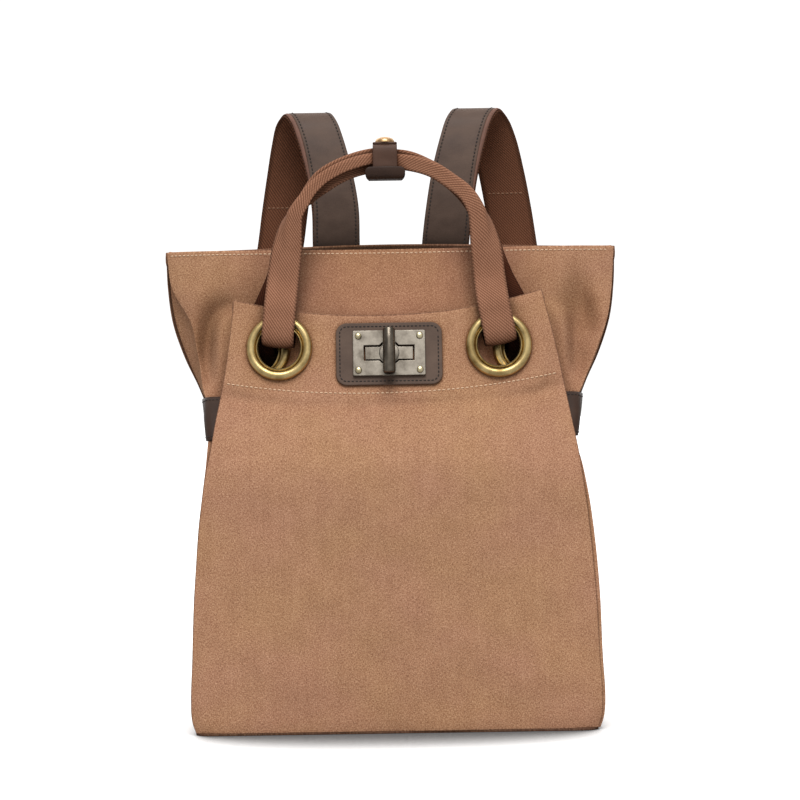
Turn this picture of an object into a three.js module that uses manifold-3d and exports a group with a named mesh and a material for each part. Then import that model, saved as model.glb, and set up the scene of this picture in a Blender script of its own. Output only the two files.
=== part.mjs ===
// A canvas and leather backpack: a wedge-shaped canvas sack whose top corners flare into wings, a
// full-height front panel fastened by a turn lock, two webbing handles threaded through brass eyelets and
// gathered by a leather keeper, leather side tabs that draw in the waist, and two leather-faced shoulder
// straps on the back.
// Millimetres. +Z is up, the front faces -Y, and the origin is the middle of the base, on what it stands on.

import * as THREE from "three";
import { mergeVertices } from "three/addons/utils/BufferGeometryUtils.js";
import Module from "manifold-3d";

const wasm = await Module();
wasm.setup();

const { clamp, lerp, smoothstep, degToRad } = THREE.MathUtils;

// Cloth and leather thicknesses, and the gap kept between neighbouring pieces
const CANVAS = 1.6;
const WEBBING = 2.2;
const LEATHER = 2.0;
const GAP = 0.35;

// Heights of the sack and the plane of its back
const BASE_THICKNESS = 2;
const WALL_FOOT = BASE_THICKNESS + GAP;
const HEM_HEIGHT = 400;
const BACK_RISE = 6;
const BACK_Y = 65;
const BASE_HALF_WIDTH = 165;
const BASE_FRONT_Y = -62.5;
const BASE_CORNER_RADIUS = 14;

// The sack by height: half-widths of the front wall to its left and right edge and of the back wall, depth
// (y) of the front wall at its middle and at its edges, how square its section is, and how far the gussets
// swell outwards
const SACK = [
  { z: 2, left: 164, right: 166, back: 165, middle: -60.5, edge: -54, square: 10, swell: 0 },
  { z: 12, left: 167, right: 169, back: 168, middle: -61.5, edge: -55, square: 10, swell: 0.5 },
  { z: 30, left: 167.5, right: 170, back: 168.5, middle: -61.5, edge: -56, square: 10, swell: 1 },
  { z: 60, left: 166, right: 168.5, back: 167.5, middle: -60, edge: -56, square: 9, swell: 2.5 },
  { z: 120, left: 163, right: 166.5, back: 165.5, middle: -54.5, edge: -54, square: 8, swell: 3 },
  { z: 180, left: 158.2, right: 161.5, back: 161.5, middle: -44.5, edge: -44, square: 6, swell: 3 },
  { z: 215, left: 154.5, right: 156, back: 158, middle: -36, edge: -35, square: 5, swell: 2 },
  { z: 240, left: 152.5, right: 151, back: 155.5, middle: -29.7, edge: -25, square: 4, swell: 0.5 },
  { z: 262, left: 151.5, right: 151, back: 157, middle: -24.5, edge: -10, square: 3, swell: 0 },
  { z: 285, left: 159, right: 160.5, back: 165, middle: -21, edge: 10, square: 2.5, swell: -1.5 },
  { z: 310, left: 163.5, right: 172, back: 176.5, middle: -18, edge: 30, square: 2.2, swell: -3 },
  { z: 340, left: 170, right: 183.5, back: 186.5, middle: -10, edge: 45, square: 2.2, swell: -4 },
  { z: 370, left: 186.5, right: 188.6, back: 190.5, middle: 2, edge: 53, square: 2.1, swell: -3 },
  { z: 400, left: 190.5, right: 190.5, back: 191.5, middle: 13, edge: 56, square: 2.1, swell: -2 },
];

// Side tabs: heights, how far they reach onto the front wall, and where they stand along the gusset's depth
const TAB = { bottom: 241, top: 275, onFront: 13, alongGusset: [0.3, 0.6, 0.97] };
const TAB_ROWS = range(TAB.bottom, TAB.top, 3);

// Heights of the rows that the front wall and the gussets share, so that their edges meet
const BASE_BEND_TOP = 12;
const STRAIGHT_FOOT = 50;
const SACK_ROWS = [
  WALL_FOOT,
  BASE_BEND_TOP,
  ...range(STRAIGHT_FOOT, TAB.bottom, 4).slice(0, -1),
  ...TAB_ROWS,
  ...range(TAB.top, HEM_HEIGHT, 7).slice(1),
];

// Folds of the front wall: swellings of the wings (below zero), and hollows where they turn in behind the
// front panel and above the side tabs
const WING_DENTS = [
  { x: -176, z: 350, wide: 20, tall: 30, turn: 0, depth: -4 },
  { x: -157, z: 301, wide: 13, tall: 14, turn: 0, depth: 6 },
  { x: -154, z: 322, wide: 13, tall: 28, turn: 0.15, depth: 14 },
  { x: -140, z: 349, wide: 12, tall: 14, turn: 0.7, depth: 5 },
  { x: 184, z: 348, wide: 18, tall: 34, turn: 0, depth: -4 },
  { x: 160, z: 302, wide: 13, tall: 14, turn: 0, depth: 6 },
  { x: 161, z: 344, wide: 15, tall: 28, turn: -0.15, depth: 15 },
  { x: 150, z: 316, wide: 12, tall: 24, turn: -0.2, depth: 7 },
];

// The front panel by height: half-width, how far it hangs to one side, and clearance in front of the sack at
// its middle and at its edges
const PANEL = [
  { z: 2, half: 164, shift: 0, middleGap: 0.7, edgeGap: 0.7 },
  { z: 12, half: 167, shift: 0, middleGap: 1.2, edgeGap: 0.7 },
  { z: 30, half: 167.6, shift: 0, middleGap: 2.5, edgeGap: 0.7 },
  { z: 60, half: 166.2, shift: 0, middleGap: 6, edgeGap: 0.7 },
  { z: 120, half: 163.4, shift: 0, middleGap: 11.5, edgeGap: 0.7 },
  { z: 180, half: 158.6, shift: 0, middleGap: 16.5, edgeGap: 0.7 },
  { z: 215, half: 154.2, shift: 0.2, middleGap: 15, edgeGap: 0.8 },
  { z: 232, half: 151.2, shift: 0.8, middleGap: 12.5, edgeGap: 1.5 },
  { z: 262, half: 145.8, shift: 0.6, middleGap: 9, edgeGap: 10 },
  { z: 288, half: 140.6, shift: 0.7, middleGap: 6, edgeGap: 22 },
  { z: 316, half: 135.4, shift: 0, middleGap: 4, edgeGap: 31 },
  { z: 359, half: 127.5, shift: -2.6, middleGap: 6, edgeGap: 34 },
];

// Its top edge: mean height of the corners, the dip between them, how much the right-hand corner stands above
// that height, and how far the fittings sit to one side
const PANEL_TOP = 359;
const PANEL_DIP = 17;
const PANEL_DIP_POWER = 2.2;
const PANEL_TILT = 2.6;
const PANEL_SHIFT = -2;
const PANEL_ROWS = [0, 0.03, ...range(0.12, 1, 14)];

// Places across the front wall and the panel, closer towards their edges, and facets round each turned piece
const WALL_SHARES = [0.17, 0.344, 0.447, 0.56, 0.67, 0.78, 0.88, 0.95, 1];
const WALL_COLUMNS = [...WALL_SHARES.map((share) => -share).reverse(), 0, ...WALL_SHARES];
const FACETS = {
  frontEyelet: 22,
  rearEyelet: 18,
  bore: 20,
  rivet: 12,
  collar: 20,
  stem: 14,
  bar: 16,
  snap: 18,
};

// Cloth lies flat round a fitting, fades back to its curve, and is dressed level under the fitting's flange
const EYELET_FLAT = 33;
const LOCK_FLAT = { wide: 49, tall: 31 };
const FLAT_FADE = 1.4;
const FLAT_TRIM = 0.12;

// Eyelets: places on the two walls, ring section and barrel
const FRONT_EYELET = { x: 91, z: 316.5, shift: PANEL_SHIFT };
const REAR_EYELET = { x: 110, z: 312, shift: 0 };
const EYELET_RADIUS = 27.5;
const EYELET_BORE = 17.7;
const EYELET_CROWN = 4.8;
const EYELET_BARREL = 18.9;
const EYELET_BACK_RADIUS = 25.5;
const EYELET_BACK = 2;
const CUT_REACH = 6;

// Turn lock: leather patch, slotted plate, rivets, post and bar, measured in the plane of the panel
const LOCK_HEIGHT = 310;
const PATCH = { wide: 88, tall: 53, corner: 9 };
const PLATE = { wide: 60, tall: 38.5, thick: 2.4, corner: 1.2 };
const SLOT = { half: 20.9, tall: 6.5, bulge: 10.3 };
const SLOT_CLEARANCE = 1.2;
const RIVET = { x: 25.4, up: 14.5, radius: 2.8, rim: 0.4, height: 1.7 };
const POST_FLANGE = { wide: 54, tall: 27, thick: 1.4, corner: 3 };
const BOSS_RECESS = 0.8;
const COLLAR = { radius: 8.4, height: 1.3, bore: 3.9, depth: 4 };
const BAR = { radius: 5.15, length: 38.4, tip: 3.4, bevel: 2.4, stand: 8.2, stem: 3.5 };

// Handles: width, the roundness of the webbing's fold, and the course of each from its tail, sewn up behind
// the wall, through the eyelet (up and out are measured from the eyelet's middle) and over the arch. Fold is
// the share of a full fold at each point, and inset how much nearer the middle the right-hand leg runs. A leg
// passes its eyelet's middle on the outer side by its aside, and leans in by its lean as it rises
const HANDLE_WIDTH = 27;
const FOLD_HALF_LENGTH = 3.2;
const FULL_FOLD = degToRad(174);
const FOLD_SHARES = [-1, -0.21, 0, 0.21, 1];
const THREADING = [
  { up: 29, out: -4.3 },
  { up: 26, out: -5.6 },
  { up: 20, out: -6.9 },
  { up: 13, out: -8.3 },
  { up: 7, out: -8.1 },
  { up: 3.6, out: -5.2 },
  { up: 3, out: -1 },
  { up: 4.4, out: 3 },
  { up: 8.6, out: 6.2 },
  { up: 15.5, out: 7.8 },
  { up: 24, out: 8 },
  { up: 34, out: 8 },
];
const FRONT_ARCH = [
  { x: 87.5, y: -13.6, z: 372, fold: 0.04, inset: 3 },
  { x: 84.5, y: -10.5, z: 397, fold: 0.14, inset: 2.8 },
  { x: 80, y: -7.5, z: 421, fold: 0.42, inset: 3.3 },
  { x: 68.2, y: -6, z: 441.5, fold: 0.8, inset: 1.5 },
  { x: 52.5, y: -5.2, z: 455, fold: 1, inset: 1.6 },
  { x: 36.5, y: -5, z: 464, fold: 1, inset: 0 },
  { x: 18.5, y: -5, z: 469.3, fold: 1, inset: 0 },
  { x: 0, y: -5, z: 471, fold: 1, inset: 0 },
];
const REAR_ARCH = [
  { x: 92.3, y: 5, z: 374, fold: 0.04, inset: 1.7 },
  { x: 86, y: 8, z: 399, fold: 0.14, inset: 4 },
  { x: 81.5, y: 11.5, z: 421.5, fold: 0.42, inset: 5 },
  { x: 69.2, y: 10.5, z: 442.6, fold: 0.8, inset: 5.5 },
  { x: 54.5, y: 5.4, z: 458.8, fold: 1, inset: 8.5 },
  { x: 37, y: 4.4, z: 468.2, fold: 1, inset: 7 },
  { x: 18.5, y: 4.4, z: 473.9, fold: 1, inset: 2.5 },
  { x: 0, y: 4.4, z: 475.5, fold: 1, inset: 0 },
];
const FRONT_LEGS = { left: { aside: 1.5, lean: 0.1 }, right: { aside: 2.5, lean: 0.2 } };
const REAR_LEGS = { left: { aside: 0, lean: 0.28 }, right: { aside: 0, lean: 0.28 } };

// Keeper round both handles: the space inside it, the lap of its ends on top, and its band and wider cradle
const KEEPER = { x: -3, front: -10, back: 9.6, bottom: 459.5, top: 483.2, corner: 2.5, lap: 4 };
const BAND_WIDTH = 20.5;
const CRADLE = { width: 33, height: 7 };

// Section of the keeper's snap, from its foot to its crown
const SNAP_PROFILE = [
  { radius: 0, up: 0 },
  { radius: 8, up: 0 },
  { radius: 8, up: 1.2 },
  { radius: 6.9, up: 2.9 },
  { radius: 4, up: 4.3 },
  { radius: 0, up: 4.6 },
];

// Shoulder straps: width, and the course of the joint between leather and webbing from the root on the back
// wall, over the arch and down to the lower corner. The left-hand and right-hand straps stand at their own
// distances from the middle, and the right-hand one arches higher by its lift
const STRAP_WIDTH = 38.5;
const STRAP_LEATHER = 1.8;
const STRAP_COURSE = [
  { left: 46, right: 46, y: 67.3, z: 352, lift: 0 },
  { left: 46, right: 46.5, y: 67.3, z: 382, lift: 0 },
  { left: 46.3, right: 47.8, y: 67.6, z: 407, lift: 0 },
  { left: 46.8, right: 51.8, y: 70, z: 438, lift: 0.4 },
  { left: 51.5, right: 57.2, y: 75, z: 468, lift: 1 },
  { left: 58.5, right: 64.5, y: 82, z: 496, lift: 1.6 },
  { left: 64.5, right: 70.5, y: 89, z: 513, lift: 2 },
  { left: 71, right: 77.5, y: 100, z: 521, lift: 2 },
  { left: 77.5, right: 84.5, y: 111, z: 514.5, lift: 2 },
  { left: 82, right: 91.5, y: 119, z: 498, lift: 1.6 },
  { left: 86.8, right: 98, y: 126, z: 472, lift: 1 },
  { left: 92, right: 104, y: 129, z: 440, lift: 0.4 },
  { left: 97, right: 109, y: 128, z: 405, lift: 0 },
  { left: 109.6, right: 117.2, y: 122, z: 345, lift: 0 },
  { left: 122.5, right: 127.2, y: 110, z: 265, lift: 0 },
  { left: 134.4, right: 136.3, y: 93, z: 175, lift: 0 },
  { left: 142, right: 142, y: 76, z: 108, lift: 0 },
  { left: 145, right: 145, y: 68.4, z: 74, lift: 0 },
  { left: 146, right: 146, y: 67.9, z: 44, lift: 0 },
];
const LEATHER_PLY = { from: GAP / 2, to: GAP / 2 + STRAP_LEATHER, lastRow: 11 };
const WEBBING_PLY = { from: -GAP / 2, to: -GAP / 2 - WEBBING, lastRow: STRAP_COURSE.length - 1 };

const COLOURS = {
  canvas: 0xab7e61,
  webbing: 0x8f6450,
  leather: 0x6b5a4f,
  darkLeather: 0x42312a,
  brass: 0xac8f5f,
  nickel: 0x9d9486,
};
const METAL = new Set(["brass", "nickel"]);

const SIDES = [
  { name: "left", sign: -1 },
  { name: "right", sign: 1 },
];
const X_AXIS = new THREE.Vector3(1, 0, 0);

// Distance within which two corners are one, and the steps over which slopes are measured
const WELD = 1e-4;
const STEP = 0.5;
const STEP_SHARE = 0.01;

// Reads a column of a table at a height, on a smooth curve through the rows
function read(table, column, z) {
  const last = table.length - 2;
  const above = table.findIndex((row) => row.z > z);
  const i = above < 0 ? last : clamp(above - 1, 0, last);
  const secant = (k) => {
    const low = clamp(k, 0, last);
    return (table[low + 1][column] - table[low][column]) / (table[low + 1].z - table[low].z);
  };
  const slope = (k) => (secant(k - 1) * secant(k) <= 0 ? 0 : (secant(k - 1) + secant(k)) / 2);
  const span = table[i + 1].z - table[i].z;
  const t = (z - table[i].z) / span;
  const a = table[i][column];
  const b = table[i + 1][column];
  const bend = (slope(i) * span - (b - a)) * (1 - t) - (slope(i + 1) * span - (b - a)) * t;
  return lerp(a, b, t) + t * (1 - t) * bend;
}

function range(from, to, steps) {
  return Array.from({ length: steps + 1 }, (_, i) => lerp(from, to, i / steps));
}

// A closed geometry from points and triangles, with its faces turned outwards
function closed(points, triangles) {
  let volume = 0;
  const normal = new THREE.Vector3();
  for (let i = 0; i < triangles.length; i += 3) {
    const [a, b, c] = [0, 1, 2].map((k) => points[triangles[i + k]]);
    volume += a.dot(normal.crossVectors(b, c));
  }
  const facing = volume < 0 ? triangles.slice().reverse() : triangles;
  return new THREE.BufferGeometry().setFromPoints(points).setIndex(facing);
}

// A wall between two faces, each a function of a value across and a value along
function sheet(across, along, outer, inner) {
  const points = [outer, inner].flatMap((face) => along.flatMap((v) => across.map((u) => face(u, v))));
  const columns = across.length;
  const rows = along.length;
  const at = (side, i, j) => (side * rows + j) * columns + i;
  const triangles = [];
  const quad = (a, b, c, d) => triangles.push(a, b, c, a, c, d);
  for (let j = 0; j < rows - 1; j++) {
    for (let i = 0; i < columns - 1; i++) {
      quad(at(0, i, j), at(0, i + 1, j), at(0, i + 1, j + 1), at(0, i, j + 1));
      quad(at(1, i, j), at(1, i, j + 1), at(1, i + 1, j + 1), at(1, i + 1, j));
    }
    const end = columns - 1;
    quad(at(0, 0, j), at(0, 0, j + 1), at(1, 0, j + 1), at(1, 0, j));
    quad(at(0, end, j), at(1, end, j), at(1, end, j + 1), at(0, end, j + 1));
  }
  for (let i = 0; i < columns - 1; i++) {
    const end = rows - 1;
    quad(at(0, i, 0), at(1, i, 0), at(1, i + 1, 0), at(0, i + 1, 0));
    quad(at(0, i, end), at(0, i + 1, end), at(1, i + 1, end), at(1, i, end));
  }
  return closed(points, triangles);
}

// Joins and cuts
function solid(geometry) {
  const bare = new THREE.BufferGeometry().setAttribute("position", geometry.getAttribute("position"));
  const merged = mergeVertices(bare.setIndex(geometry.index), WELD);
  const vertProperties = merged.getAttribute("position").array;
  return new wasm.Manifold(
    new wasm.Mesh({ numProp: 3, vertProperties, triVerts: new Uint32Array(merged.index.array) }),
  );
}

function geometryOf(made) {
  const { vertProperties, triVerts } = made.getMesh();
  return new THREE.BufferGeometry()
    .setAttribute("position", new THREE.BufferAttribute(vertProperties, 3))
    .setIndex(new THREE.BufferAttribute(triVerts, 1));
}

function cut(body, ...tools) {
  return geometryOf(tools.reduce((rest, tool) => rest.subtract(solid(tool)), solid(body)));
}

function join(...bodies) {
  return geometryOf(bodies.map(solid).reduce((sum, body) => sum.add(body)));
}

// Depth of the sack's front wall and of the front panel
function sackHalf(x, z) {
  return read(SACK, x < 0 ? "left" : "right", z);
}

function dents(x, z) {
  let depth = 0;
  for (const dent of WING_DENTS) {
    const across = (x - dent.x) * Math.cos(dent.turn) - (z - dent.z) * Math.sin(dent.turn);
    const along = (x - dent.x) * Math.sin(dent.turn) + (z - dent.z) * Math.cos(dent.turn);
    depth += dent.depth * Math.exp(-((across / dent.wide) ** 2) - (along / dent.tall) ** 2);
  }
  return depth;
}

function sackDepth(x, z) {
  const share = Math.abs(x / sackHalf(x, z)) ** read(SACK, "square", z);
  return lerp(read(SACK, "middle", z), read(SACK, "edge", z), share) + dents(x, z);
}

function panelDepth(x, z) {
  const share = (x / read(PANEL, "half", z)) ** 2;
  const gap = lerp(read(PANEL, "middleGap", z), read(PANEL, "edgeGap", z), share);
  return sackDepth(x, z) - dents(x, z) - CANVAS - gap;
}

// The outward normal of a wall given by its depth
function wallNormal(depth, x, z) {
  const slopeX = (depth(x + STEP, z) - depth(x - STEP, z)) / (2 * STEP);
  const slopeZ = (depth(x, z + STEP) - depth(x, z - STEP)) / (2 * STEP);
  return new THREE.Vector3(slopeX, -1, slopeZ).normalize();
}

// The same wall pressed flat round a fitting
function flattened(depth, spots) {
  const planes = spots.map((spot) => {
    const normal = wallNormal(depth, spot.x, spot.z);
    const y = depth(spot.x, spot.z);
    return (x, z) => y + (normal.x * (x - spot.x) + normal.z * (z - spot.z)) / -normal.y;
  });
  return (x, z) =>
    spots.reduce((y, spot, i) => {
      const away = (((x - spot.x) / spot.wide) ** 4 + ((z - spot.z) / spot.tall) ** 4) ** 0.25;
      return lerp(planes[i](x, z), y, smoothstep(away, 1, FLAT_FADE));
    }, depth(x, z));
}

const eyeletX = (place, sign) => sign * place.x + place.shift;
const eyeletSpots = (place) =>
  SIDES.map(({ sign }) => ({ x: eyeletX(place, sign), z: place.z, wide: EYELET_FLAT, tall: EYELET_FLAT }));
const lockSpot = { x: PANEL_SHIFT, z: LOCK_HEIGHT, ...LOCK_FLAT };
const frontWall = flattened(sackDepth, eyeletSpots(REAR_EYELET));
const panelWall = flattened(panelDepth, [lockSpot, ...eyeletSpots(FRONT_EYELET)]);

// A frame on a wall: x to the right, y up the wall and z out of it
function wallFrame(wall, x, z) {
  const out = wallNormal(wall, x, z);
  const right = new THREE.Vector3().crossVectors(X_AXIS, out).cross(out).negate().normalize();
  const up = new THREE.Vector3().crossVectors(out, right);
  return new THREE.Matrix4().makeBasis(right, up, out).setPosition(x, wall(x, z), z);
}

// A point at a distance in front of a wall
function offWall(wall, x, z, out) {
  return new THREE.Vector3(x, wall(x, z), z).addScaledVector(wallNormal(wall, x, z), out);
}

// Walls of the sack
function wallSheet(wall, across, along, place) {
  const outer = (u, v) => {
    const { x, z } = place(u, v);
    return new THREE.Vector3(x, wall(x, z), z);
  };
  const inner = (u, v) => {
    const { x, z } = place(u, v);
    return offWall(wall, x, z, -CANVAS);
  };
  return sheet(across, along, outer, inner);
}

function frontWallGeometry() {
  const place = (u, z) => ({ x: u * sackHalf(u, z), z });
  return wallSheet(frontWall, WALL_COLUMNS, SACK_ROWS, place);
}

function backWallGeometry() {
  const top = (u) => HEM_HEIGHT + GAP + BACK_RISE * Math.cos((u * Math.PI) / 2) ** 2;
  const face = (y) => (u, v) => {
    const z = lerp(WALL_FOOT, top(u), v);
    return new THREE.Vector3(u * read(SACK, "back", Math.min(z, HEM_HEIGHT)), y, z);
  };
  return sheet(range(-1, 1, 6), range(0, 1, 13), face(BACK_Y), face(BACK_Y - CANVAS));
}

// A point of a gusset's outer face, from its front edge (0) to its back edge (1)
function gussetPoint(sign, t, z) {
  const frontX = sackHalf(sign, z);
  const frontY = frontWall(sign * frontX, z);
  const swell = read(SACK, "swell", z) * Math.sin(Math.PI * t);
  const x = lerp(frontX, read(SACK, "back", z), t) + swell;
  return new THREE.Vector3(sign * x, lerp(frontY, BACK_Y, t), z);
}

function gussetNormal(sign, t, z) {
  const alongY = gussetPoint(sign, t + STEP_SHARE, z).sub(gussetPoint(sign, t - STEP_SHARE, z));
  const alongZ = gussetPoint(sign, t, z + STEP).sub(gussetPoint(sign, t, z - STEP));
  return alongY.cross(alongZ).multiplyScalar(sign).normalize();
}

function gussetGeometry(sign) {
  const seam = CANVAS + 5 * GAP;
  const share = (u, z) => {
    const depth = BACK_Y - gussetPoint(sign, 0, z).y;
    return lerp(seam / depth, 1 - seam / depth, u);
  };
  const outer = (u, z) => gussetPoint(sign, share(u, z), z);
  const inner = (u, z) => outer(u, z).addScaledVector(gussetNormal(sign, share(u, z), z), -CANVAS);
  return sheet(range(0, 1, 5), SACK_ROWS, outer, inner);
}

function baseGeometry() {
  const outline = new THREE.Shape();
  const r = BASE_CORNER_RADIUS;
  const right = BASE_HALF_WIDTH - r;
  const back = BACK_Y - r;
  const front = BASE_FRONT_Y + r;
  outline.absarc(right, back, r, 0, Math.PI / 2);
  outline.absarc(-right, back, r, Math.PI / 2, Math.PI);
  outline.absarc(-right, front, r, Math.PI, 1.5 * Math.PI);
  outline.absarc(right, front, r, 1.5 * Math.PI, 2 * Math.PI);
  return new THREE.ExtrudeGeometry(outline, { depth: BASE_THICKNESS, bevelEnabled: false, curveSegments: 5 });
}

// Front panel: its rows dip in the middle more and more towards the top
function panelPlace(u, v) {
  const level = lerp(WALL_FOOT, PANEL_TOP, v);
  const dip = PANEL_DIP * (1 - Math.abs(u) ** PANEL_DIP_POWER) * v ** 3;
  const tilt = PANEL_TILT * u * v ** 3;
  return { x: u * read(PANEL, "half", level) + read(PANEL, "shift", level), z: level - dip + tilt };
}

function panelGeometry() {
  const panel = wallSheet(panelWall, WALL_COLUMNS, PANEL_ROWS, panelPlace);
  const lockFrame = wallFrame(panelWall, PANEL_SHIFT, LOCK_HEIGHT);
  const slot = extruded(slotShape(GAP), -CUT_REACH, CUT_REACH).applyMatrix4(lockFrame);
  const seat = extruded(roundedBox(PATCH), FLAT_TRIM, CUT_REACH).applyMatrix4(lockFrame);
  return cut(panel, slot, seat, ...eyeletBores(panelWall, FRONT_EYELET));
}

// Eyelets: a rolled ring in front, a barrel through the cloth and a flat washer behind, turned about z
const EYELET_PROFILE = [
  [EYELET_BORE, -CANVAS - GAP - EYELET_BACK],
  [EYELET_BORE, 2],
  [EYELET_BORE + 1.8, EYELET_CROWN - 0.6],
  [EYELET_RADIUS - 4.8, EYELET_CROWN],
  [EYELET_RADIUS - 1.4, EYELET_CROWN - 1.8],
  [EYELET_RADIUS, GAP],
  [EYELET_BARREL, GAP],
  [EYELET_BARREL, -CANVAS - GAP],
  [EYELET_BACK_RADIUS, -CANVAS - GAP],
  [EYELET_BACK_RADIUS - 0.6, -CANVAS - GAP - EYELET_BACK],
  [EYELET_BORE, -CANVAS - GAP - EYELET_BACK],
];

function turned(profile, segments) {
  const points = profile.map(([r, z]) => new THREE.Vector2(r, z));
  const lathe = new THREE.LatheGeometry(points, segments).rotateX(Math.PI / 2);
  const merged = mergeVertices(lathe.deleteAttribute("normal").deleteAttribute("uv"), WELD);
  const corners = merged.getAttribute("position");
  const corner = (_, i) => new THREE.Vector3().fromBufferAttribute(corners, i);
  const vertices = Array.from({ length: corners.count }, corner);
  return closed(vertices, whole(Array.from(merged.index.array)));
}

// Triangles with three different corners
function whole(triangles) {
  const kept = [];
  for (let i = 0; i < triangles.length; i += 3) {
    const [a, b, c] = triangles.slice(i, i + 3);
    if (a !== b && b !== c && c !== a) kept.push(a, b, c);
  }
  return kept;
}

// Holes that the barrels of a pair of eyelets pass through, with the wall dressed flat under their flanges
function eyeletBores(wall, place) {
  const bore = EYELET_BARREL + GAP;
  const flange = EYELET_RADIUS + GAP;
  const profile = [
    [0, -CUT_REACH],
    [flange, -CUT_REACH],
    [flange, -CANVAS - FLAT_TRIM],
    [bore, -CANVAS - FLAT_TRIM],
    [bore, FLAT_TRIM],
    [flange, FLAT_TRIM],
    [flange, CUT_REACH],
    [0, CUT_REACH],
  ];
  return SIDES.map(({ sign }) => {
    const frame = wallFrame(wall, eyeletX(place, sign), place.z);
    return turned(profile, FACETS.bore).applyMatrix4(frame);
  });
}

// Turn lock shapes in the plane of the panel
function extruded(shape, from, to) {
  const options = { depth: to - from, bevelEnabled: false, curveSegments: 4 };
  return new THREE.ExtrudeGeometry(shape, options).translate(0, 0, from);
}

function roundedBox({ wide, tall, corner }) {
  const shape = new THREE.Shape();
  const x = wide / 2 - corner;
  const y = tall / 2 - corner;
  shape.absarc(x, y, corner, 0, Math.PI / 2);
  shape.absarc(-x, y, corner, Math.PI / 2, Math.PI);
  shape.absarc(-x, -y, corner, Math.PI, 1.5 * Math.PI);
  shape.absarc(x, -y, corner, 1.5 * Math.PI, 2 * Math.PI);
  return shape;
}

// The keyhole of the lock, widened by a margin: a long slot with a round middle
function slotShape(margin) {
  const half = SLOT.half + margin;
  const tall = SLOT.tall + margin;
  const bulge = SLOT.bulge + margin;
  const start = Math.asin(tall / bulge);
  const shape = new THREE.Shape();
  shape.moveTo(half, -tall);
  shape.lineTo(half, tall);
  shape.absarc(0, 0, bulge, start, Math.PI - start);
  shape.lineTo(-half, tall);
  shape.lineTo(-half, -tall);
  shape.absarc(0, 0, bulge, Math.PI + start, 2 * Math.PI - start);
  shape.closePath();
  return shape;
}

function slotted(shape) {
  shape.holes.push(slotShape(0));
  return shape;
}

const PATCH_FOOT = GAP;
const PLATE_FOOT = PATCH_FOOT + LEATHER + GAP;
const PLATE_FACE = PLATE_FOOT + PLATE.thick;
const POST_FOOT = -(CANVAS + read(PANEL, "middleGap", LOCK_HEIGHT)) + 2 * GAP;
const BOSS_FACE = PLATE_FACE - BOSS_RECESS;
const COLLAR_RIM = BOSS_FACE + COLLAR.height;
const COLLAR_FLOOR = COLLAR_RIM - COLLAR.depth;
const BAR_AXIS = PLATE_FACE + BAR.stand;

// A plain round pin between two heights
function pin(radius, from, to, facets) {
  return turned([[0, from], [radius, from], [radius, to], [0, to]], facets);
}

function rivetGeometry() {
  const foot = PLATE_FACE + GAP;
  const { radius, rim, height } = RIVET;
  const shoulder = [0.7 * radius, foot + 0.8 * height];
  const profile = [[0, foot], [radius, foot], [radius, foot + rim], shoulder, [0, foot + height]];
  return turned(profile, FACETS.rivet);
}

function postGeometry() {
  const flange = extruded(roundedBox(POST_FLANGE), POST_FOOT, POST_FOOT + POST_FLANGE.thick);
  const boss = extruded(slotShape(-SLOT_CLEARANCE), POST_FOOT, BOSS_FACE);
  const collar = pin(COLLAR.radius, POST_FOOT, COLLAR_RIM, FACETS.collar);
  const bore = pin(COLLAR.bore, COLLAR_FLOOR, COLLAR_RIM + CUT_REACH, FACETS.stem);
  return cut(join(flange, boss, collar), bore);
}

function barGeometry() {
  const end = BAR.length / 2;
  const profile = [[0, -end], [BAR.tip, -end], [BAR.radius, -end + BAR.bevel]];
  const mirrored = profile.map(([r, z]) => [r, -z]).reverse();
  const bar = turned([...profile, ...mirrored], FACETS.bar).rotateX(Math.PI / 2).translate(0, 0, BAR_AXIS);
  const stem = pin(BAR.stem, COLLAR_FLOOR + GAP, BAR_AXIS, FACETS.stem);
  return join(bar, stem);
}

// Handles: a ribbon that lies flat in its legs and folds in half over the arch, with its edges down
function handleCourse(wall, place, legs, arch) {
  const half = ({ name, sign }) => {
    const { aside, lean } = legs[name];
    const eyelet = eyeletX(place, sign);
    const yaw = (up) => Math.asin(Math.abs(wallNormal(wall, eyelet, place.z + up).x));
    const heading = new THREE.Vector3(lean, 0, -sign);
    const threaded = THREADING.map(({ up, out }) => {
      const x = eyelet + sign * (aside - lean * up);
      return { point: offWall(wall, x, place.z + up, out), fold: 0, yaw: yaw(up), heading };
    });
    const arched = arch.map(({ x, y, z, fold, inset }, i) => {
      const share = 1 - i / (arch.length - 1);
      const nearer = sign > 0 ? inset : 0;
      const point = new THREE.Vector3(sign * (x - nearer) + place.shift * share, y, z);
      return { point, fold, yaw: yaw(0) * share ** 3 };
    });
    return [...threaded, ...arched];
  };
  const [left, right] = SIDES.map(half);
  return [...left, ...right.slice(0, -1).reverse()];
}

// The ribbon's section: places across it and the direction in which each faces, as [outwards, backwards]
function foldedSection(fold) {
  const turn = (w) => fold * FULL_FOLD * clamp((FOLD_HALF_LENGTH + w) / (2 * FOLD_HALF_LENGTH), 0, 1);
  const places = FOLD_SHARES.map((share) => (share * HANDLE_WIDTH) / 2);
  const points = [[0, 0]];
  for (let i = 1; i < places.length; i++) {
    const heading = turn((places[i - 1] + places[i]) / 2);
    const length = places[i] - places[i - 1];
    const [a, n] = points[i - 1];
    points.push([a + length * Math.cos(heading), n + length * Math.sin(heading)]);
  }
  const middle = [0, 1].map((k) => {
    const values = points.map((point) => point[k]);
    return (Math.max(...values) + Math.min(...values)) / 2;
  });
  return points.map(([a, n], i) => {
    const heading = turn(places[i]);
    return { a: a - middle[0], n: n - middle[1], facing: [-Math.sin(heading), Math.cos(heading)] };
  });
}

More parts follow.
